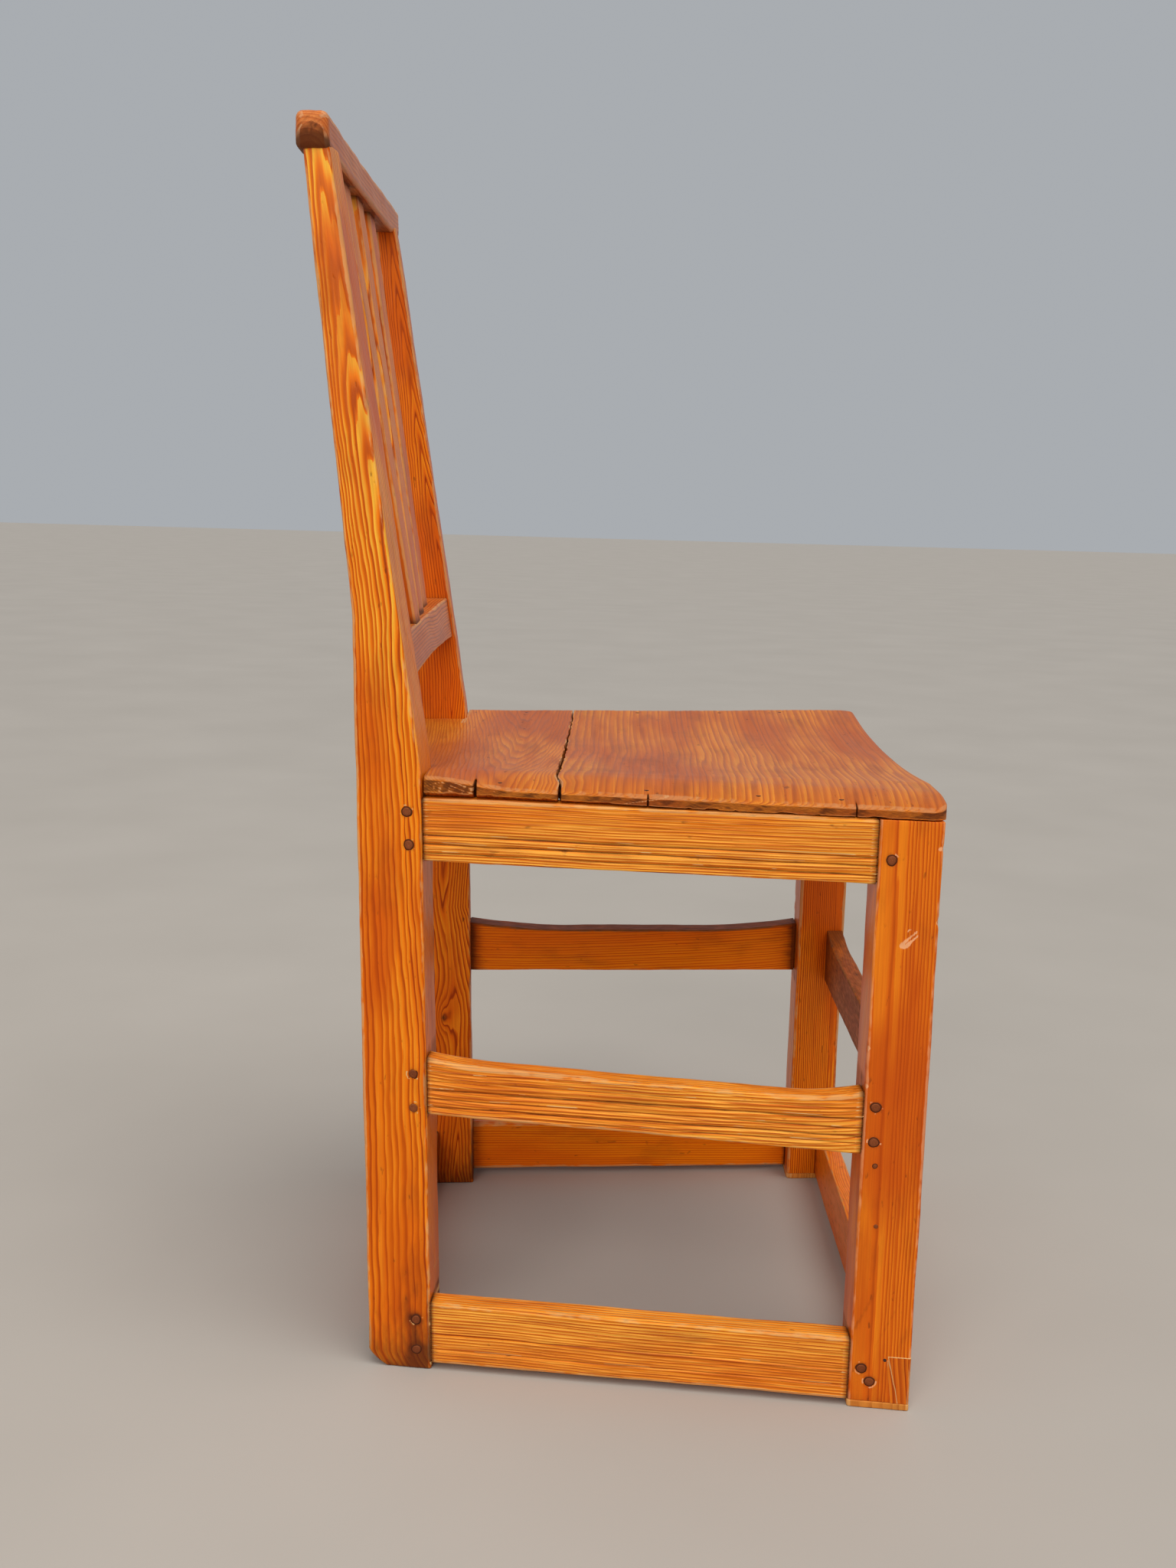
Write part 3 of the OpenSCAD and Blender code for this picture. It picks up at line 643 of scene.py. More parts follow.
# %% Back posts
def back_post(side, word, material, grain):
    pegs = centres(peg_boxes[side], 1, 2)

    def box(z):
        return 0, post_t(z), post_front(z), post_back(z) - heel_loss(z, side)

    def relief(face, a, b, l, ring):
        near = spots(b, l, pegs, 4.2) * (face == 0)
        return (0.10 * (late_wood(ring) - 0.4) - 0.35 * near
            + 0.12 * waves(l + b * 3, 51, 33) * (face == 0))

    def marks(face, a, b, l, ring):
        gap = np.abs(b - post_front(l))
        # Darker towards the floor: dirt, and painted shade where the foot meets the floor.
        foot = 0.75 * fade(l, 38)
        grime_and_shade = most(0.75 * spots(b, l, pegs, 4.6) * (face == 0) + foot,
            0.55 * at_joints(l) * fade(gap, 2.2) + foot,
            spots(b, l / 1.5, [(150.5, 106)], 3.0) * (face == 2) * (side == LEFT))
        stain = fade(np.abs(b - post_front(l) - 12 - 6 * waves(l, 57, 90)), 7)
        grime_and_shade = grime_and_shade + 0.6 * stain * fade(l, 55) * (face == 0)
        chips = fade(gap, 1.6) * smooth(jags(l, 59, 5), 0.1, 0.7)
        raw = most(0.8 * chips * (1 - smooth(l, 60, 110)) * (side == RIGHT),
            0.62 * chewed(b, l, pegs, 61 + side) * (face == 0))
        return grime_and_shade * (1 - 0.6 * raw), raw

    along = stations(0, POST_TOP + 4, 4.5, (1.5, 1.0),
        [(z, 6.5) for _, z in pegs] + [(6, 6)], 1.0)
    stick("post_" + word, along, box, upright_place(side, 0.07), grain, material,
        "back_post_" + word, (44, 30, 40, 30),
        (1.6, 2.0, 1.4, 1.8), relief, marks, 0.35)


def post_grain(seed, heights, counts, axes, powers, slant, eye=None):
    """Ring number on a post: lines run up beside the back face, and one by one they
    turn over into pointed arches along an axis near the front face. At each height
    there are `counts` rings between the back face and the axis, and powers says
    whether they crowd to the back (over 1) or to the axis (under 1). Near an eye,
    (b, l, size), the lines become rings round a knot."""
    def figure(a, b, l):
        u = (post_back(l) - post_front(l)) / 2 - b
        u = u + 0.9 * waves(l, seed, 330) + 0.4 * waves(l + 2 * b, seed + 1, 62)
        count = np.interp(l, heights, counts) + 0.25 * waves(l, seed + 2, 150)
        away = np.abs(1 - u / np.interp(l, heights, axes))
        power = np.interp(l, heights, powers)
        number = count * (1 - away ** power) + slant * a + 0.22 * waves(u, seed + 3, 17)
        if eye:
            round_it = np.hypot(b - eye[0], (l - eye[1]) / 1.8)
            number = number + 5.0 * np.exp(-(round_it / eye[2]) ** 1.2)
        return number
    return dict(seed=seed, figure=figure)


back_post(RIGHT, "right", "post_pine", post_grain(11,
    [0, 250, 430, 560, 650, 750, 842], [10.5, 11.6, 12.8, 9.4, 6.9, 4.1, 1.8],
    [52, 50, 45, 33, 23, 15, 10.5], [0.9, 0.88, 0.95, 1.4, 1.8, 2.0, 2.0], 0.3))
back_post(LEFT, "left", "far_pine_painted_shade", post_grain(23,
    [0, 120, 157, 200, 262, 330, 470, 600, 720, 842], [11, 8, 7, 7, 8, 10, 15, 12, 8, 5],
    [30, 34, 36, 30, 22, 24, 34, 24, 16, 12],
    [1.0, 1.0, 1.0, 1.2, 1.3, 1.2, 0.9, 1.2, 1.4, 1.5], 0.3, (1.5, 159, 10)))

# %% [markdown]
# ## Front legs and their feet
# The front legs are straight and follow the splay of the sides. The right one has a
# pale scar where something struck it, two filled nail holes, and a piece let into its
# foot. Thin pads of newer, paler wood lift both front feet.

# %% Front legs
pad_top = corners("foot_pad_right")[1][2]


def front_leg(side, word, material, grain):
    pegs = [p for p in centres(peg_boxes[side], 1, 2) if p[0] < LEG_BACK]
    scar = [(-193.0, 335.0), (-197.5, 340.5)] if side == RIGHT else []
    chips = [(-175.2, 247), (-174.9, 262), (-175.4, 236), (-214.6, 402), (-216, 352)]

    def relief(face, a, b, l, ring):
        hurt = (0.3 * spots(b, l, pegs, 4.0) + 0.35 * spots(b, l, scar, 2.4)) * (face == 0)
        return 0.09 * (late_wood(ring) - 0.4) - hurt - 0.9 * spots(b, l, chips, 2.6) * (a < 3)

    def marks(face, a, b, l, ring):
        # The last term of the first line darkens the foot towards the floor: dirt, and painted
        # shade there.
        grime_and_shade = most(0.75 * spots(b, l, pegs, 4.6) * (face == 0) + 0.3 * np.exp(-(l - 5) / 14),
            0.5 * at_joints(l) * fade(np.abs(b - LEG_BACK), 2.0))
        stain = bell(l - 66, 34) * smooth(waves(l + 2.2 * b, 73, 40)
            + 0.6 * jags(b + 0.4 * l, 77, 6), 0.0, 0.9)
        grime_and_shade = grime_and_shade + 0.38 * stain * (face == 0) * (side == RIGHT)
        raw = 0.85 * spots(b, l, scar[:1], 2.4)
        for y, z in scar[1:]:
            up, over = 0.57 * (y - b) + 0.82 * (l - z), 0.82 * (b - y) + 0.57 * (l - z)
            rim = np.hypot(up / 9.5, over / 4.4) + 0.16 * jags(up, 41, 2.2)
            stroke = 0.5 + 0.3 * jags(over + 0.2 * up, 43, 1.5) + 0.16 * jags(up, 45, 4.1)
            raw = most(raw, stroke * smooth(1.05 - rim, 0, 0.2))
        raw = most(raw * (face == 0), 0.8 * spots(b, l, chips, 2.2) * (a < 3),
            0.62 * chewed(b, l, pegs, 65 + side) * (face == 0))
        return grime_and_shade * (1 - raw), raw

    close = [(z, 6.5) for _, z in pegs] + [(z, 11) for _, z in scar[1:]]
    stick("leg_" + word, stations(pad_top, RAIL_TOP, 4.5, (0.8, 0.5), close, 1.0),
        lambda z: (0, LEG_T, LEG_FRONT, LEG_BACK), upright_place(side), grain, material,
        "front_leg_" + word, (56, 26, 36, 34),
        (1.4, 2.2, 1.6, 1.8), relief, marks, 0.25)


def leg_grain(seed, places, counts, slant):
    """Straight rings of uneven width: counts gives the ring number at set distances
    from the back face."""
    def figure(a, b, l):
        u = LEG_D / 2 - b + 0.5 * waves(l, seed, 380) + 0.2 * waves(l + 3 * b, seed + 1, 55)
        u = u + slant * (a + LEG_T / 2)
        return np.interp(u + 0.004 * (l - 200), places, counts) + 0.16 * waves(u, seed + 2, 13)
    return dict(seed=seed, figure=figure)


front_leg(RIGHT, "right", "leg_pine",
    leg_grain(31, [-9, 0, 11.5, 13.6, 19, 50], [-2, 0, 0.35, 1.0, 1.3, 14.5], 0.3))
front_leg(LEFT, "left", "far_pine_painted_shade", leg_grain(37, [-9, 14, 24, 50], [-3, 4, 8.5, 23], 0.4))

# %% [markdown]
# ## Rails and stretchers at the sides
# The side members lie flush with the legs. Their outer faces are beaded with a scratch
# stock and then worn by years of scrubbing, which left the hard wood standing in fine
# ridges. Real ridges catch the light along their whole length, so they are in the mesh:
# grooves at set heights, and a little relief on every ring. Each end runs on into the
# leg at a slightly smaller size, which leaves the thin dark line of a joint.

# %% Side rails and stretchers
SIDE_T = 20.0
NOMINAL = float(post_front(RAIL_TOP) - LEG_BACK)


def side_place(side):
    """l runs from the leg to the leaning front face of the post."""
    def place(a, b, l):
        stretch = (post_front(b) - LEG_BACK) / NOMINAL
        y = LEG_BACK + l * stretch
        return side * (half(y) - a / COS), y, b
    return place


def line_grain(seed, spacing, slope, slant=0.3):
    """Long straight grain: rings `spacing` apart that drift up or down along the rail."""
    def figure(a, b, l):
        u = b + slope * l + 0.9 * waves(l, seed, 460) + 0.10 * waves(l, seed + 1, 70)
        return u / spacing + slant * a + 0.28 * waves(u, seed + 2, 11)
    return dict(seed=seed, figure=figure)


def dip(l, length, run, depth, last=0.0):
    """The hollow of a top edge: an arc at each end, straight between. The last end
    stays lower by `last`."""
    gap = np.clip(np.minimum(l, length - l), 0, run)
    end = np.where(l > length / 2, last, 0.0)
    return depth - (depth - end) * ((run - gap) / run) ** 2


def side_member(side, name, low, high, grain, grooves, depth,
        hollow=0.0, radii=(2, 2.5, 2, 1.5), lean=0.0, run=60, last=0.0):
    """grooves lists (height, width, depth). The section is drawn in at each end, which
    makes the joint's line. lean lifts the end at the post and lowers the other."""
    def box(l):
        line = 1.1 * (1 - smooth(np.minimum(l, NOMINAL - l), 0.35, 1.0))
        settle = lean * (l / NOMINAL - 0.5)
        return (line, SIDE_T - line, low + line + settle,
            high - line - dip(l, NOMINAL, run, hollow, last) + settle)

    def above(z, b, l):
        """Height over a groove, which wanders a little."""
        return b - z - 0.35 * waves(l, int(z), 170)

    def relief(face, a, b, l, ring):
        out = depth * (late_wood(ring) - 0.5) * np.isin(face, (0, 1, 4))
        for z, wide, deep in grooves:
            out = out - deep * bell(above(z, b, l), wide) * (face == 0)
        return out

    def marks(face, a, b, l, ring):
        gap = np.minimum(l, NOMINAL - l)
        # A dark joint line at each end, then a broader painted shade that fades out along the
        # member.
        grime_and_shade = 0.9 * fade(gap - 0.6, 1.6) + 0.25 * np.exp(-gap / 14)
        if side == LEFT and hollow:
            # On the far side the painted shade at the ends reaches further, and the top is
            # dirty.
            grime_and_shade = most(grime_and_shade + 0.6 * np.exp(-gap / 11), 0.75 * np.isin(face, (1, 4, 5)))
        raw = 0.55 * bell(gap - 4, 4) * late_wood(ring) * (face == 0)
        for z, wide, deep in grooves:
            over = above(z, b, l)
            grime_and_shade = most(grime_and_shade, 0.8 * bell(over, 0.6 * wide) * (face == 0) * min(deep, 1.0))
            # Pale torn wood above each groove, which also paints the highlight on the ridge.
            torn_and_highlight = smooth(jags(l, int(7 * z), 17), 0.35, 0.6) * bell(over - 1.6 * wide, 0.4)
            raw = most(raw, 0.8 * torn_and_highlight * (face == 0))
        return grime_and_shade * (1 - 0.7 * raw), raw

    along = stations(-4, NOMINAL + 4, 4.0, (0.5, 0.5), [(0.6, 1.0), (NOMINAL - 0.6, 1.0)], 0.2)
    # The far side takes the pine coloured with painted shade.
    stick(name, along, box, side_place(side), grain,
        "rail_pine" if side == RIGHT else "cross_pine_painted_shade",
        name.replace("middle", "mid"), (150, 30, 20, 24), radii, relief, marks, 0.3)


# The grooves of the rail and the low stretcher are given by their height over the floor,
# those of the middle stretcher by their height over its underside.
RAIL_GROOVES = [(394.0, 1.0, 1.3), (388.0, 1.0, 1.5), (381.8, 0.9, 1.2)]
MIDDLE_GROOVES = [(34, 0.6, 0.4), (28.5, 0.7, 0.6), (21.5, 1.2, 1.3), (15, 0.8, 0.9),
    (9.2, 0.9, 1.2), (4.2, 0.7, 0.8)]
LOW_GROOVES = [(27.5, 0.6, 0.6), (15.6, 0.6, 0.7)]
LOW_TALL = 46.0
rail_low = corners("seat_rail_right")[0][2]
low_low = corners("low_stretcher_right")[0][2]
for side, word in SIDES:
    seed = 0 if side == RIGHT else 60
    side_member(side, "seat_rail_" + word, rail_low, RAIL_TOP,
        line_grain(41 + seed, 2.2, 0.006), RAIL_GROOVES, 0.34)
    low, high = (v[2] for v in corners("mid_stretcher_" + word))
    grooves, depth, worn = [], 0.06, dict(hollow=7.2, radii=(1, 1, 1, 1), run=95)
    if side == RIGHT:
        grooves, depth = [(low + z, wide, deep) for z, wide, deep in MIDDLE_GROOVES], 0.34
        worn = dict(hollow=7.0, radii=(2.5, 7, 5, 2), lean=7.0, run=52, last=2.8)
    side_member(side, "middle_stretcher_" + word, low, high,
        line_grain(47 + seed, 2.5, 0.03), grooves, depth, **worn)
    side_member(side, "low_stretcher_" + word, low_low, low_low + LOW_TALL,
        line_grain(53 + seed, 2.3, -0.008), LOW_GROOVES, 0.30, radii=(2.5, 4, 2, 2))

# %% [markdown]
# ## Rails and stretchers across the chair
# These are thinner and plainer, planed flat, and set a little behind the faces of the
# legs. They end on the splayed inner faces, so their length changes with depth.

# %% Cross rails and stretchers
def cross_member(name, node, y0, thick, low, high, material, grain, hollow=0.0,
        slot="rail_pine", rake=0.0, arch=0.0, radii=(1.2, 1.2, 1.2, 1.2), rough=0.06,
        climb=0.0, dirt_and_shade=0.0):
    """rake leans the faces back, arch lifts the middle of the underside, and climb
    tilts the whole towards one side."""
    reach = float(inner(y0, low))

    def box(l):
        line = 0.9 * (1 - smooth(reach - np.abs(l), 0.3, 0.9))
        bend = arch * (1 - np.clip(np.abs(l) / reach, 0, 1) ** 2)
        return (y0 + line, y0 + thick - line, low + line + bend,
            high - line - dip(l + reach, 2 * reach, 60, hollow))

    def place(a, b, l):
        x = l / reach * inner(a + rake * (b - low), b)
        return x, a + rake * (b - low), b + climb * x

    def relief(face, a, b, l, ring):
        return rough * (late_wood(ring) - 0.5) * (face != 3)

    def marks(face, a, b, l, ring):
        gap = reach - np.abs(l)
        # An even painted shade for the members under the seat, a dark joint line at each end,
        # and a broader painted shade near the ends.
        return dirt_and_shade + 0.9 * fade(gap - 0.5, 1.4) + 0.42 * fade(gap, 16), 0.0

    ends = [(-reach + 0.5, 0.8), (reach - 0.5, 0.8)]
    stick(name, stations(-reach - 3, reach + 3, 5.0, (0.5, 0.5), ends, 0.2), box, place,
        grain, material, node, (60, 18, 60, 14), radii, relief, marks, 0.25)


for name, node in (("front_rail", "seat_rail_front"), ("middle_stretcher_front",
        "mid_stretcher_front"), ("low_stretcher_front", "low_stretcher_front"),
        ("back_rail", "seat_rail_back"), ("low_stretcher_back", "low_stretcher_back")):
    low, high = corners(node)
    # The front middle stretcher gets the strongest even painted shade, the others less.
    worn = dict(hollow=8.0, dirt_and_shade=0.7) if node == "mid_stretcher_front" else dict(dirt_and_shade=0.3)
    cross_member(name, node, low[1], high[1] - low[1], low[2], high[2], "cross_pine_painted_shade",
        dict(pith=(60, -50), width=1.4, seed=101 + 13 * len(name) + len(node), sway=1.5),
        **worn)

# %% [markdown]
# ## The back: lower rail, slats and crest
# The lower rail follows the rake of the posts, flush with their front faces. Three thin
# slats stand in it and rise into the crest rail. The crest sits on the posts' tops, and
# hands have rounded it more than anything else on the chair. Its ends are cut under.

# %% Lower back rail
BACK_LOW, BACK_TOP, CLIMB = 500.0, 533.5, 0.035
RAKE = float((post_front(BACK_TOP) - post_front(BACK_LOW)) / (BACK_TOP - BACK_LOW))
front_y = float(post_front(BACK_LOW)) + 1
cross_member("lower_back_rail", "lower_back_rail", front_y, 22.0, BACK_LOW, BACK_TOP,
    "back_pine", dict(pith=(40, 60), width=2.0, seed=211, sway=2.0), slot="frame_pine",
    rake=RAKE, arch=3.5, radii=(1.5, 4.0, 4.5, 1.5), rough=0.12, climb=CLIMB)

# %% Slats
SLAT_IN, SLAT_T = 6.0, 9.0
for word in ("right", "middle", "left"):
    low, high = corners("back_slat_" + word)
    co = vertices("back_slat_" + word)
    foot = co[co[:, 2] < low[2] + 3][:, 1].min()
    head = co[co[:, 2] > high[2] - 3][:, 1].min()
    slope = (head - foot) / (high[2] - low[2])
    middle, wide = (low[0] + high[0]) / 2, (high[0] - low[0]) / 2

    def slat_place(a, b, l):
        return middle + b, foot + a + slope * (l - low[2]), l

    def slat_marks(face, a, b, l, ring):
        gap = np.minimum(l - BACK_TOP - CLIMB * middle, POST_TOP - l)
        # A dark joint line at each end, and a broader painted shade below the crest and above
        # the lower rail.
        return 0.9 * fade(gap, 2.5) + 0.3 * fade(gap, 18), 0.0

    stick("slat_" + word, stations(BACK_TOP - SLAT_IN, POST_TOP + SLAT_IN, 5.0),
        lambda l: (0, SLAT_T, -wide, wide), slat_place,
        dict(pith=(-14, 12), width=2.1, seed=223 + len(word), drift=(0.012, 0.02), sway=1.5),
        "slat_pine", "back_slat_" + word, (34, 10, 34, 10),
        (1.6, 1.6, 1.6, 1.6), lambda f, a, b, l, r: 0.10 * (late_wood(r) - 0.4),
        slat_marks, 0.2)

# %% Crest rail
crest_end = crest_high[0]


def crest_box(l):
    """The underside rises in a quarter curve at each end, and the top sags a little."""
    gap = np.clip(crest_end - np.abs(l), 0, 99)
    under = 9.0 * np.clip(1 - gap / 5.5, 0, 1) ** 1.5
    top = crest_high[2] - 0.8 - 1.4 * (1 - (l / crest_end) ** 2) + 0.5 * waves(l, 301, 120)
    return crest_low[1] + 0.3, crest_high[1] - 0.3, POST_TOP + under, top


def crest_relief(face, a, b, l, ring):
    knocks = np.minimum(0, jags(l, 307, 23) + 0.55) * 0.8 * np.isin(face, (4, 5))
    return 0.06 * (late_wood(ring) - 0.4) + knocks


# Darker on the underside and towards it, most at the ends: painted shade under the crest, with
# mottled grime on the ends. The top shows bare wood where hands rub.
def crest_marks(face, a, b, l, ring):
    gap = crest_end - np.abs(l)
    low = np.exp(-(b - POST_TOP) / 3.0)
    end = fade(gap, 3.0) * np.exp(-(b - POST_TOP) / 9.0)
    knob = fade(gap, 9.0) * (0.16 + 0.2 * waves(a + b, 311, 9)
        + 0.5 * (1 - smooth(b - POST_TOP, 3, 12)))
    return (0.55 * low * (np.abs(l) > 140) + 0.4 * low + 0.8 * end + knob + 0.3 * (face == 3),
        0.42 * (face == 1) * (gap > 12))


stick("crest", stations(-crest_end, crest_end, 4.0, (4.5, 4.5)), crest_box,
    lambda a, b, l: (l, a, b), dict(pith=(4, -22), width=2.6, seed=311, sway=2.0),
    "crest_pine", "crest_rail", (26, 24, 26, 24),
    (6.5, 6.5, 2.5, 2.5), crest_relief, crest_marks, 0.35)

# %% [markdown]
# ## The seat
# Two wide boards lie side to side, pegged down over the rails. Long use has dished them
# across and worn a slope along both sides, so the seat is thin at its edges. The boards
# have shrunk apart at the crack between them, and the ends have split and chipped. The
# top and the underside are each a formula of x and y, and a board is a stick whose
# stations run from front to back, with its section bent between those two surfaces.

# %% The two surfaces of the seat
seat_low, seat_high = corners("seat_board_front")
SEAT_T = seat_high[2] - seat_low[2]
SEAT_FRONT = seat_low[1]
CRACK = seat_high[1]


def seat_top(x, y):
    """A shallow dish across, highest at the left side. The right side has also worn to
    a slope, which fades near the post."""
    u = np.abs(x)
    right = 5.8 * (1 - np.clip(1 - (u / 150.0) ** 2, 0, 1))
    left = (10.3 + 1.2 * smooth(-y, 0, 200)) * (u / 212.0) ** 2.2
    slope = 7.6 - 7.2 * smooth(y, 62, 128)
    side = slope * np.clip(1 - (half(y) - u) / 36.0, 0, 1) ** 1.7
    hand = 0.3 * waves(x + 0.3 * y, 401, 300) + 0.25 * waves(y, 403, 170)
    return RAIL_TOP + 9.3 + np.where(x < 0, right - side, left) + hand


def seat_bottom(x, y):
    """Flat on the rails, but the right side has warped up a little towards the back."""
    edge = half(y) - np.abs(x)
    lift = (0.6 + 2.6 * smooth(y, -90, 110) * (x < 0)) * (1 - smooth(edge, 1.0, 9.0))
    return RAIL_TOP + 0.25 + lift


# %% The crack and the splits
def crack_middle(x):
    return np.interp(x, [-220, -178, -166, -100, 0, 220],
        [38.2, 38.6, 41.8, 41.0, 39.8, 38.0]) + 0.7 * jags(x, 411, 9)


def crack_half(x):
    return np.interp(x, [-220, -175, -168, -152, -70, 60, 220],
        [1.3, 0.9, 0.45, 0.9, 1.25, 0.6, 0.35]) + 0.25 * np.abs(jags(x, 413, 5))


# Each split is (place from front to back, depth, width). GAP is the crack's width in
# the frame, CORNER the radius of the seat's front corners.
SPLITS = [(96.5, 13, 0.8), (-21, 6, 0.4), (-159, 8, 0.3)]
GAP, CORNER = 1.4, 13.0
nail_spots = centres(clusters("seat_nails"), 0, 1)


# %% A seat board
def seat_board(name, start, end, grain, crack_side):
    """crack_side is 1 if the crack is at the board's end, -1 if at its start. The
    front corners are rounded, and the rear board narrows between the posts."""
    tongue_at = float(post_front(RAIL_TOP)) - 1
    crack_at = CRACK if crack_side > 0 else CRACK + GAP

    def reach(l):
        gap = np.clip(l - SEAT_FRONT, 0, CORNER)
        side = half(l) - 0.2 - (CORNER - np.sqrt(CORNER ** 2 - (CORNER - gap) ** 2))
        return np.where(l > tongue_at, inner(l, RAIL_TOP) - 1.0, side)

    def box(l):
        return -reach(l), reach(l), 0, SEAT_T

    def place(a, b, l):
        pull = smooth(l, CRACK - 26, CRACK) if crack_side > 0 else 1 - smooth(
            l, CRACK + 1, CRACK + 27)
        y = l + pull * (crack_middle(a) - crack_side * crack_half(a) - crack_at)
        near = np.clip(np.abs(a) / np.maximum(reach(l), 1), 0, 1)
        ragged = smooth(near, 0.96, 1.0)
        x = a - np.sign(a) * ragged * (0.5 * np.abs(jags(l + 3 * np.sign(a), 421, 4.3))
            + 1.6 * np.maximum(0, jags(l + 7 * np.sign(a), 423, 7.7) - 0.55))
        for at, deep, wide in SPLITS:
            x = x + (a < 0) * smooth(near, 1 - deep / 200, 1.0) * deep * bell(l - at, wide)
        low, high = seat_bottom(a, y), seat_top(a, y)
        torn_and_highlight = 1.4 * np.maximum(0, jags(l, 427, 6.1) - 0.3) * ragged * (1 - b / SEAT_T)
        return x, y, low + torn_and_highlight + (high - low - torn_and_highlight) * b / SEAT_T

    def relief(face, a, b, l, ring):
        nails = spots(a, l, nail_spots, 2.6) * np.isin(face, (1, 4, 5))
        return (0.16 * (late_wood(ring) - 0.4) * (face == 1) - 0.5 * nails
            - 0.25 * np.abs(jags(l, 431, 2.9)) * np.isin(face, (0, 2, 4, 5)))

    def marks(face, a, b, l, ring):
        gap, edge = np.abs(l - crack_at), np.isin(face, (0, 2))
        behind = fade(np.abs(l - tongue_at), 5.0) * (np.abs(a) > 120)
        brink = fade(reach(l) - np.abs(a), 6) * (face == 1)
        spread = jags(l + 0.6 * b, 437, 7) + 0.5 * jags(l - b, 441, 2.3)
        grime_and_shade = most(0.5 * fade(gap, 1.2), 0.5 * behind,
            edge * (0.54 + 0.3 * smooth(spread, -0.3, 0.7) + 0.3 * smooth(2.5 - b, 0, 2.5)),
            brink * (0.2 + 0.55 * smooth(jags(l + 0.3 * a, 447, 8), 0.1, 0.8)),
            *(1.2 * bell(l - at, wide + 0.4) * (a < 0) * np.exp(-(reach(l) + a) / (deep + 1))
                for at, deep, wide in SPLITS))
        raw = most(0.9 * fade(gap, 1.3) * (jags(a, 433, 13) > 0.1) * (face == 1),
            0.75 * behind * (a > 0) * (face == 1),
            0.75 * smooth(jags(l + 1.7 * b, 439, 3.1), 0.86, 0.98)
                * np.isin(face, (0, 2, 4, 5)),
            0.6 * edge * (l > 97) * smooth(jags(l + 0.2 * b, 443, 1.7)
                + 0.6 * jags(l - 2 * b, 445, 3.7), 0.25, 0.7),
            0.62 * spots(a, l, nail_spots, 3.4) * (spots(a, l, nail_spots, 2.0) < 0.5))
        return grime_and_shade * (1 - 0.8 * raw), raw

    close = [(at, 1.6) for at, _, _ in SPLITS if start + 3 < at < end - 3]
    along = stations(start, end, 1.15, (3.2 if crack_side > 0 else 0.6, 0.6), close, 0.35)
    stick(name, along, box, place, grain, "seat_pine", name,
        (9, 150, 9, 70), (3.4, 3.4, 1.2, 1.2), relief, marks, 0.0, True)


def seat_grain(seed, middle, wide, power, xs, counts):
    """Lines run from side to side. They close in arches towards the right edge, about
    a line at `middle`, because the number of rings to either side of it falls."""
    def figure(a, b, l):
        u = l - middle + 5.5 * waves(a, seed, 900, 2) + 0.5 * waves(a, seed + 1, 210, 2)
        away = np.abs(u / wide) ** power
        return np.interp(a, xs, counts) - away + 0.35 * waves(u, seed + 2, 23) + 0.3 * b
    return dict(seed=seed, figure=figure)


# %% The two boards
back_edge = corners("seat_board_rear")[1][1]
seat_board("seat_board_front", SEAT_FRONT, CRACK,
    seat_grain(501, 90, 5.2, 1.0, [-220, 0, 220], [40, 42, 41]), 1)
seat_board("seat_board_rear", CRACK + GAP, back_edge,
    seat_grain(507, 80, 9.0, 1.45, [-220, 220], [4, 15]), -1)

# %% [markdown]
# ## Small turned and whittled things
# Pegs, plugs and nail heads are profiles carried round an axis. A peg isn't quite round:
# its radius swells and shrinks with the angle. Its head is domed and chewed, and a thin
# collar of dirt closes the hole around it. One mesh holds all the pegs of a side.

# %% A round thing carried round its axis
def turned(profile, seed, around=22):
    """A profile carried round: x, y in the head's plane, z outwards. Also gives the
    dirt and a ring number for each point."""
    rng = np.random.default_rng(seed)
    angle = np.linspace(0, 2 * np.pi, around, endpoint=False)
    r, h, dirt_and_shade = (np.array(v, float)[:, None] for v in zip(*profile))
    turn = rng.uniform(0, 6.28, 3)
    swell = 1 + 0.045 * np.sin(2 * angle + turn[0]) + 0.03 * np.sin(3 * angle + turn[1]) \
        + 0.02 * np.sin(7 * angle + turn[2])
    grid = np.stack([r * swell * np.cos(angle), r * swell * np.sin(angle),
        h + 0.12 * (h > 0.2) * np.sin(angle + turn[1]) * r / 3], -1)
    return grid, np.repeat(dirt_and_shade, around, 1), r / 0.62 + 0 * angle + seed


def many_turned(name, node, material, profile, frames, seed):
    """Joins several turned things in one mesh. Each frame is (centre, out, up, size)."""
    parts = []
    for n, (centre, out, up, size) in enumerate(frames):
        grid, dirt_and_shade, ring = turned(profile, seed + n)
        local = grid * np.array([size, size, 1.0])
        parts.append((centre + local @ np.stack([np.cross(up, out), up, out]),
            {"ring": ring, "board": local * MM + n * 0.7,
                "wear": np.stack([0 * dirt_and_shade, dirt_and_shade, 0 * dirt_and_shade], -1)}))
    closed_mesh(name, parts, material, node)


# %% [markdown]
# ## Finishes of the small things
# A peg shows end grain that has drunk in oil and dirt. The pads under the feet are new
# pine, hardly varnished. The nails are old iron, brown with rust.

# %% Finishes of pegs, pads and iron
pine("peg_wood", (160, 88, 48), (138, 68, 36), (84, 38, 20), (108, 50, 26),
    gloss=0.5, bare=(170, 120, 80))
pine("pad_pine", (236, 164, 76), (222, 142, 58), (188, 106, 40), (206, 120, 44), gloss=0.45)
pine("patch_pine", (232, 124, 26), (216, 100, 18), (150, 50, 8), (190, 74, 12))

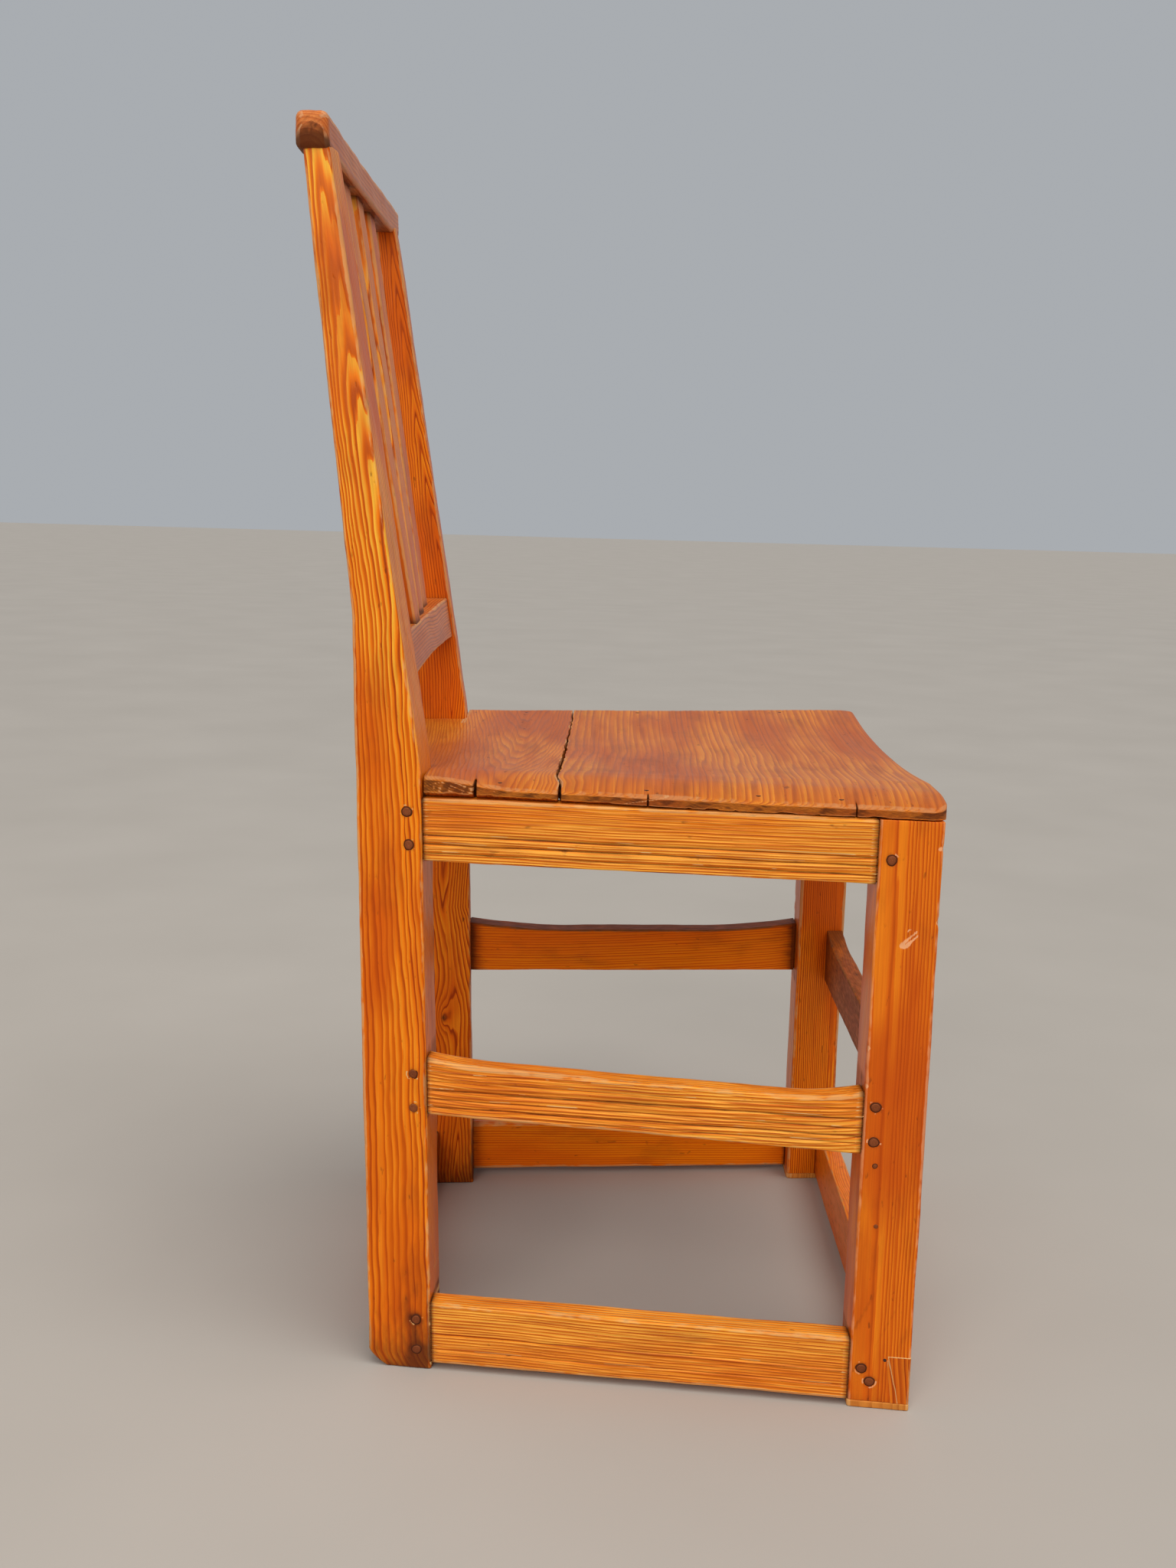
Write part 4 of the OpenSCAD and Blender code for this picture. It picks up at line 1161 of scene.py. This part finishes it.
f = Finish("rusty_iron")
place = f.node("ShaderNodeTexCoord", out="Object")
coarse = f.noise(place, (500.0, 500.0, 500.0), 4.0, 0.6)
fine = f.noise(place, (2200.0, 2200.0, 2200.0), 2.0)
colour = f.mix(f.ease(coarse, 0.4, 0.62), tone(38, 28, 24), tone(86, 50, 34))
bump = f.node("ShaderNodeBump", {}, {"Strength": 0.6, "Distance": 0.0002,
    "Height": coarse + fine * 0.5})
f.end({"Base Color": colour, "Roughness": 0.55 + coarse * 0.4, "Metallic": 0.35,
    "Normal": bump})

# %% Pegs
# A profile lists (radius, height over the face, dirt) from the hidden end to the head.
PEG = [(2.0, -1.2, 0.5), (3.75, -1.1, 1.0), (3.85, 0.02, 1.0), (3.2, 0.05, 1.0),
    (3.02, 0.1, 0.9), (2.98, 0.45, 0.4), (2.75, 0.72, 0.1), (2.2, 0.84, 0.0),
    (1.3, 0.88, 0.1), (0.6, 0.86, 0.2)]
UP = np.array([0, 0, 1.0])
PROUD = 0.8     # how far the frame's front pegs stand out of the leg


def side_frames(side, places, size=1.0):
    """Heads at each (y, z) on the splayed outer face of a side."""
    out = np.array([side * COS, SPLAY * COS, 0.0])
    return [(np.array([side * half(y), y, z]), out, UP, size) for y, z in places]


for side, word in SIDES:
    many_turned("pegs_" + word, "side_pegs_" + word, "peg_wood", PEG,
        side_frames(side, centres(peg_boxes[side], 1, 2)), 601 + side)
for word, way in (("front", -1.0), ("back", 1.0)):
    boxes = clusters(word + "_pegs")
    frames = []
    for (x, z), (low, high) in zip(centres(boxes, 0, 2), boxes):
        face = float(post_back(z)) if way > 0 else low[1] + PROUD
        frames.append((np.array([x, face, z]), np.array([0, way, 0]), UP, 1.0))
    many_turned("pegs_" + word, word + "_pegs", "peg_wood", PEG, frames, 641)

# %% Plugs and nails
many_turned("nail_plugs", "leg_plugs_right", "peg_wood", PEG,
    side_frames(RIGHT, centres(clusters("leg_plugs_right"), 1, 2), 0.5), 661)
NAIL = [(0.6, -6.0, 0), (0.9, -5.0, 0), (0.9, -0.6, 0), (1.9, -0.5, 0), (2.05, -0.2, 0),
    (1.9, 0.05, 0), (1.0, 0.12, 0), (0.4, 0.1, 0)]
many_turned("seat_nails", "seat_nails", "rusty_iron", NAIL,
    [(np.array([x, y, float(seat_top(x, y)) - 0.35]), UP, np.array([0, 1.0, 0]), 1.0)
        for x, y in nail_spots], 671)

# %% [markdown]
# ## Feet
# The pads are thin blocks a hair wider than the legs, with soft corners. The piece let
# into the right foot is a small tapering block held with a pale line of filler, beside
# a thin wedge. Its corner was nailed once, and the nail has left a black hole.

# %% Pads
for side, word in SIDES:
    ease = 2.0 if side == RIGHT else 5.0
    stick("pad_" + word, stations(0, pad_top, 0.8, (1.0, 0.8)),
        lambda l: (-0.5, LEG_T + 0.4, LEG_FRONT - 0.5, LEG_BACK + 0.6),
        upright_place(side), dict(pith=(30, 20), width=2.4, seed=701 + side),
        "pad_pine", "foot_pad_" + word, (30, 30, 30, 30),
        (ease, ease, ease, ease), None,
        lambda f, a, b, l, r: (0.5 * (l < 0.6), 0.25 * (f < 8)), 0.2)

# %% The piece let into the right foot
patch_high = corners("foot_patch_right")[1][2]


def patch_back(z):
    return np.interp(z, [0, pad_top, 15, 27, patch_high],
        [8, 8, 10, 13, 16]) + LEG_FRONT


def patch_box(z):
    return -0.22, 14.0, LEG_FRONT - 0.2, patch_back(z)


def patch_marks(face, a, b, l, ring):
    rim = np.minimum(patch_high - l, patch_back(l) - b)
    # Darker towards the floor: dirt and painted shade. The rim shows the pale line of filler.
    return 0.25 * fade(l, 9), 1.1 * fade(rim, 0.55)


stick("foot_patch", stations(pad_top, patch_high, 0.7, (0.3, 0.3)), patch_box,
    upright_place(RIGHT), dict(pith=(20, -22), width=1.9, seed=711, sway=0.4),
    "patch_pine", "foot_patch_right", (26, 16, 10, 16),
    (0.3, 0.3, 0.3, 1.6), None, patch_marks, 0.05)
stick("foot_wedge", stations(pad_top, patch_high - 3, 0.9, (0.3, 0.3)),
    lambda z: (-0.28, 8.0, patch_back(z) - 0.1,
        patch_back(z) + 0.4 + 4.2 * (1 - (z - pad_top) / (patch_high - pad_top)) ** 0.7),
    upright_place(RIGHT), dict(pith=(20, -22), width=3.1, seed=717, sway=0.4),
    "patch_pine", "foot_patch_right", (10, 6, 6, 6),
    (0.3, 0.3, 0.3, 0.3), tilt=0.05)
HOLE = [(0.5, -3.0, 0), (1.2, -2.9, 0), (1.25, 0.1, 0), (1.0, 0.16, 0), (0.5, 0.18, 0)]
many_turned("nail_hole", "foot_patch_right", "rusty_iron", HOLE,
    side_frames(RIGHT, [(LEG_FRONT + 18.0, patch_high - 3.0)]), 721)

# %% [markdown]
# ## Floor, light and camera
# A pale floor, a soft sun overhead and a weaker round lamp at the camera's side. The
# varnish needs something pale to mirror, so the world is a soft grey, like a cloudy sky.

# %% Floor
f = Finish("pale_floor")
cloud = f.noise(f.node("ShaderNodeTexCoord", out="Object"), (3.0, 3.0, 3.0), 3.0)
f.end({"Base Color": f.mix(cloud, tone(172, 164, 154), tone(184, 176, 166)),
    "Roughness": 0.8})
FLOOR = 40.0
floor_mesh = bpy.data.meshes.new("floor")
floor_mesh.from_pydata([(-FLOOR, -FLOOR, 0), (FLOOR, -FLOOR, 0), (FLOOR, FLOOR, 0),
    (-FLOOR, FLOOR, 0)], [], [(0, 1, 2, 3)])
floor_mesh.materials.append(f.material)
floor = put("floor", floor_mesh)
floor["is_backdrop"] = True

# %% Light
world = bpy.data.worlds.new("soft_grey")
bpy.context.scene.world = world
world.use_nodes = True
sky = world.node_tree.nodes["Background"]
sky.inputs["Color"].default_value = (0.495, 0.52, 0.55, 1)
sky.inputs["Strength"].default_value = 0.8


sun = bpy.data.lights.new("over", "SUN")
sun.energy, sun.angle, sun.color = 1.75, math.radians(50), (1.0, 0.98, 0.95)
over = put("over", sun)
over.rotation_euler = Vector((-0.9, -0.7, 2.6)).to_track_quat("Z", "Y").to_euler()
disk = bpy.data.lights.new("side", "AREA")
disk.shape, disk.size, disk.energy, disk.color = "DISK", 2.4, 50, (1.0, 0.97, 0.93)
lamp, aim = put("side", disk), Vector((0, 0, 0.4))
lamp.location = (-3.2, 0.9, 2.0)
lamp.rotation_euler = (aim - lamp.location).to_track_quat("-Z", "Y").to_euler()

# %% Camera
camera_data = bpy.data.cameras.new("camera")
camera_data.lens, camera_data.sensor_width = 36.9, 36.0
camera = put("camera", camera_data)
yaw, pitch, roll = 0.0089, 0.1666, 0.0268
ahead = Vector((math.cos(yaw) * math.cos(pitch), math.sin(yaw) * math.cos(pitch),
    -math.sin(pitch)))
right = ahead.cross(Vector((0, 0, 1))).normalized()
up = right.cross(ahead)
turned_right = math.cos(roll) * right + math.sin(roll) * up
turned_up = math.cos(roll) * up - math.sin(roll) * right
camera.matrix_world = Matrix((turned_right, turned_up, -ahead)).transposed().to_4x4()
camera.location = (-1.2615, 0.0101, 0.6141)
bpy.context.scene.camera = camera
bpy.context.scene.view_settings.view_transform = "Standard"

# %% Sizes
low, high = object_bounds()
print("visual", [round(v, 4) for v in (*low, *high)])
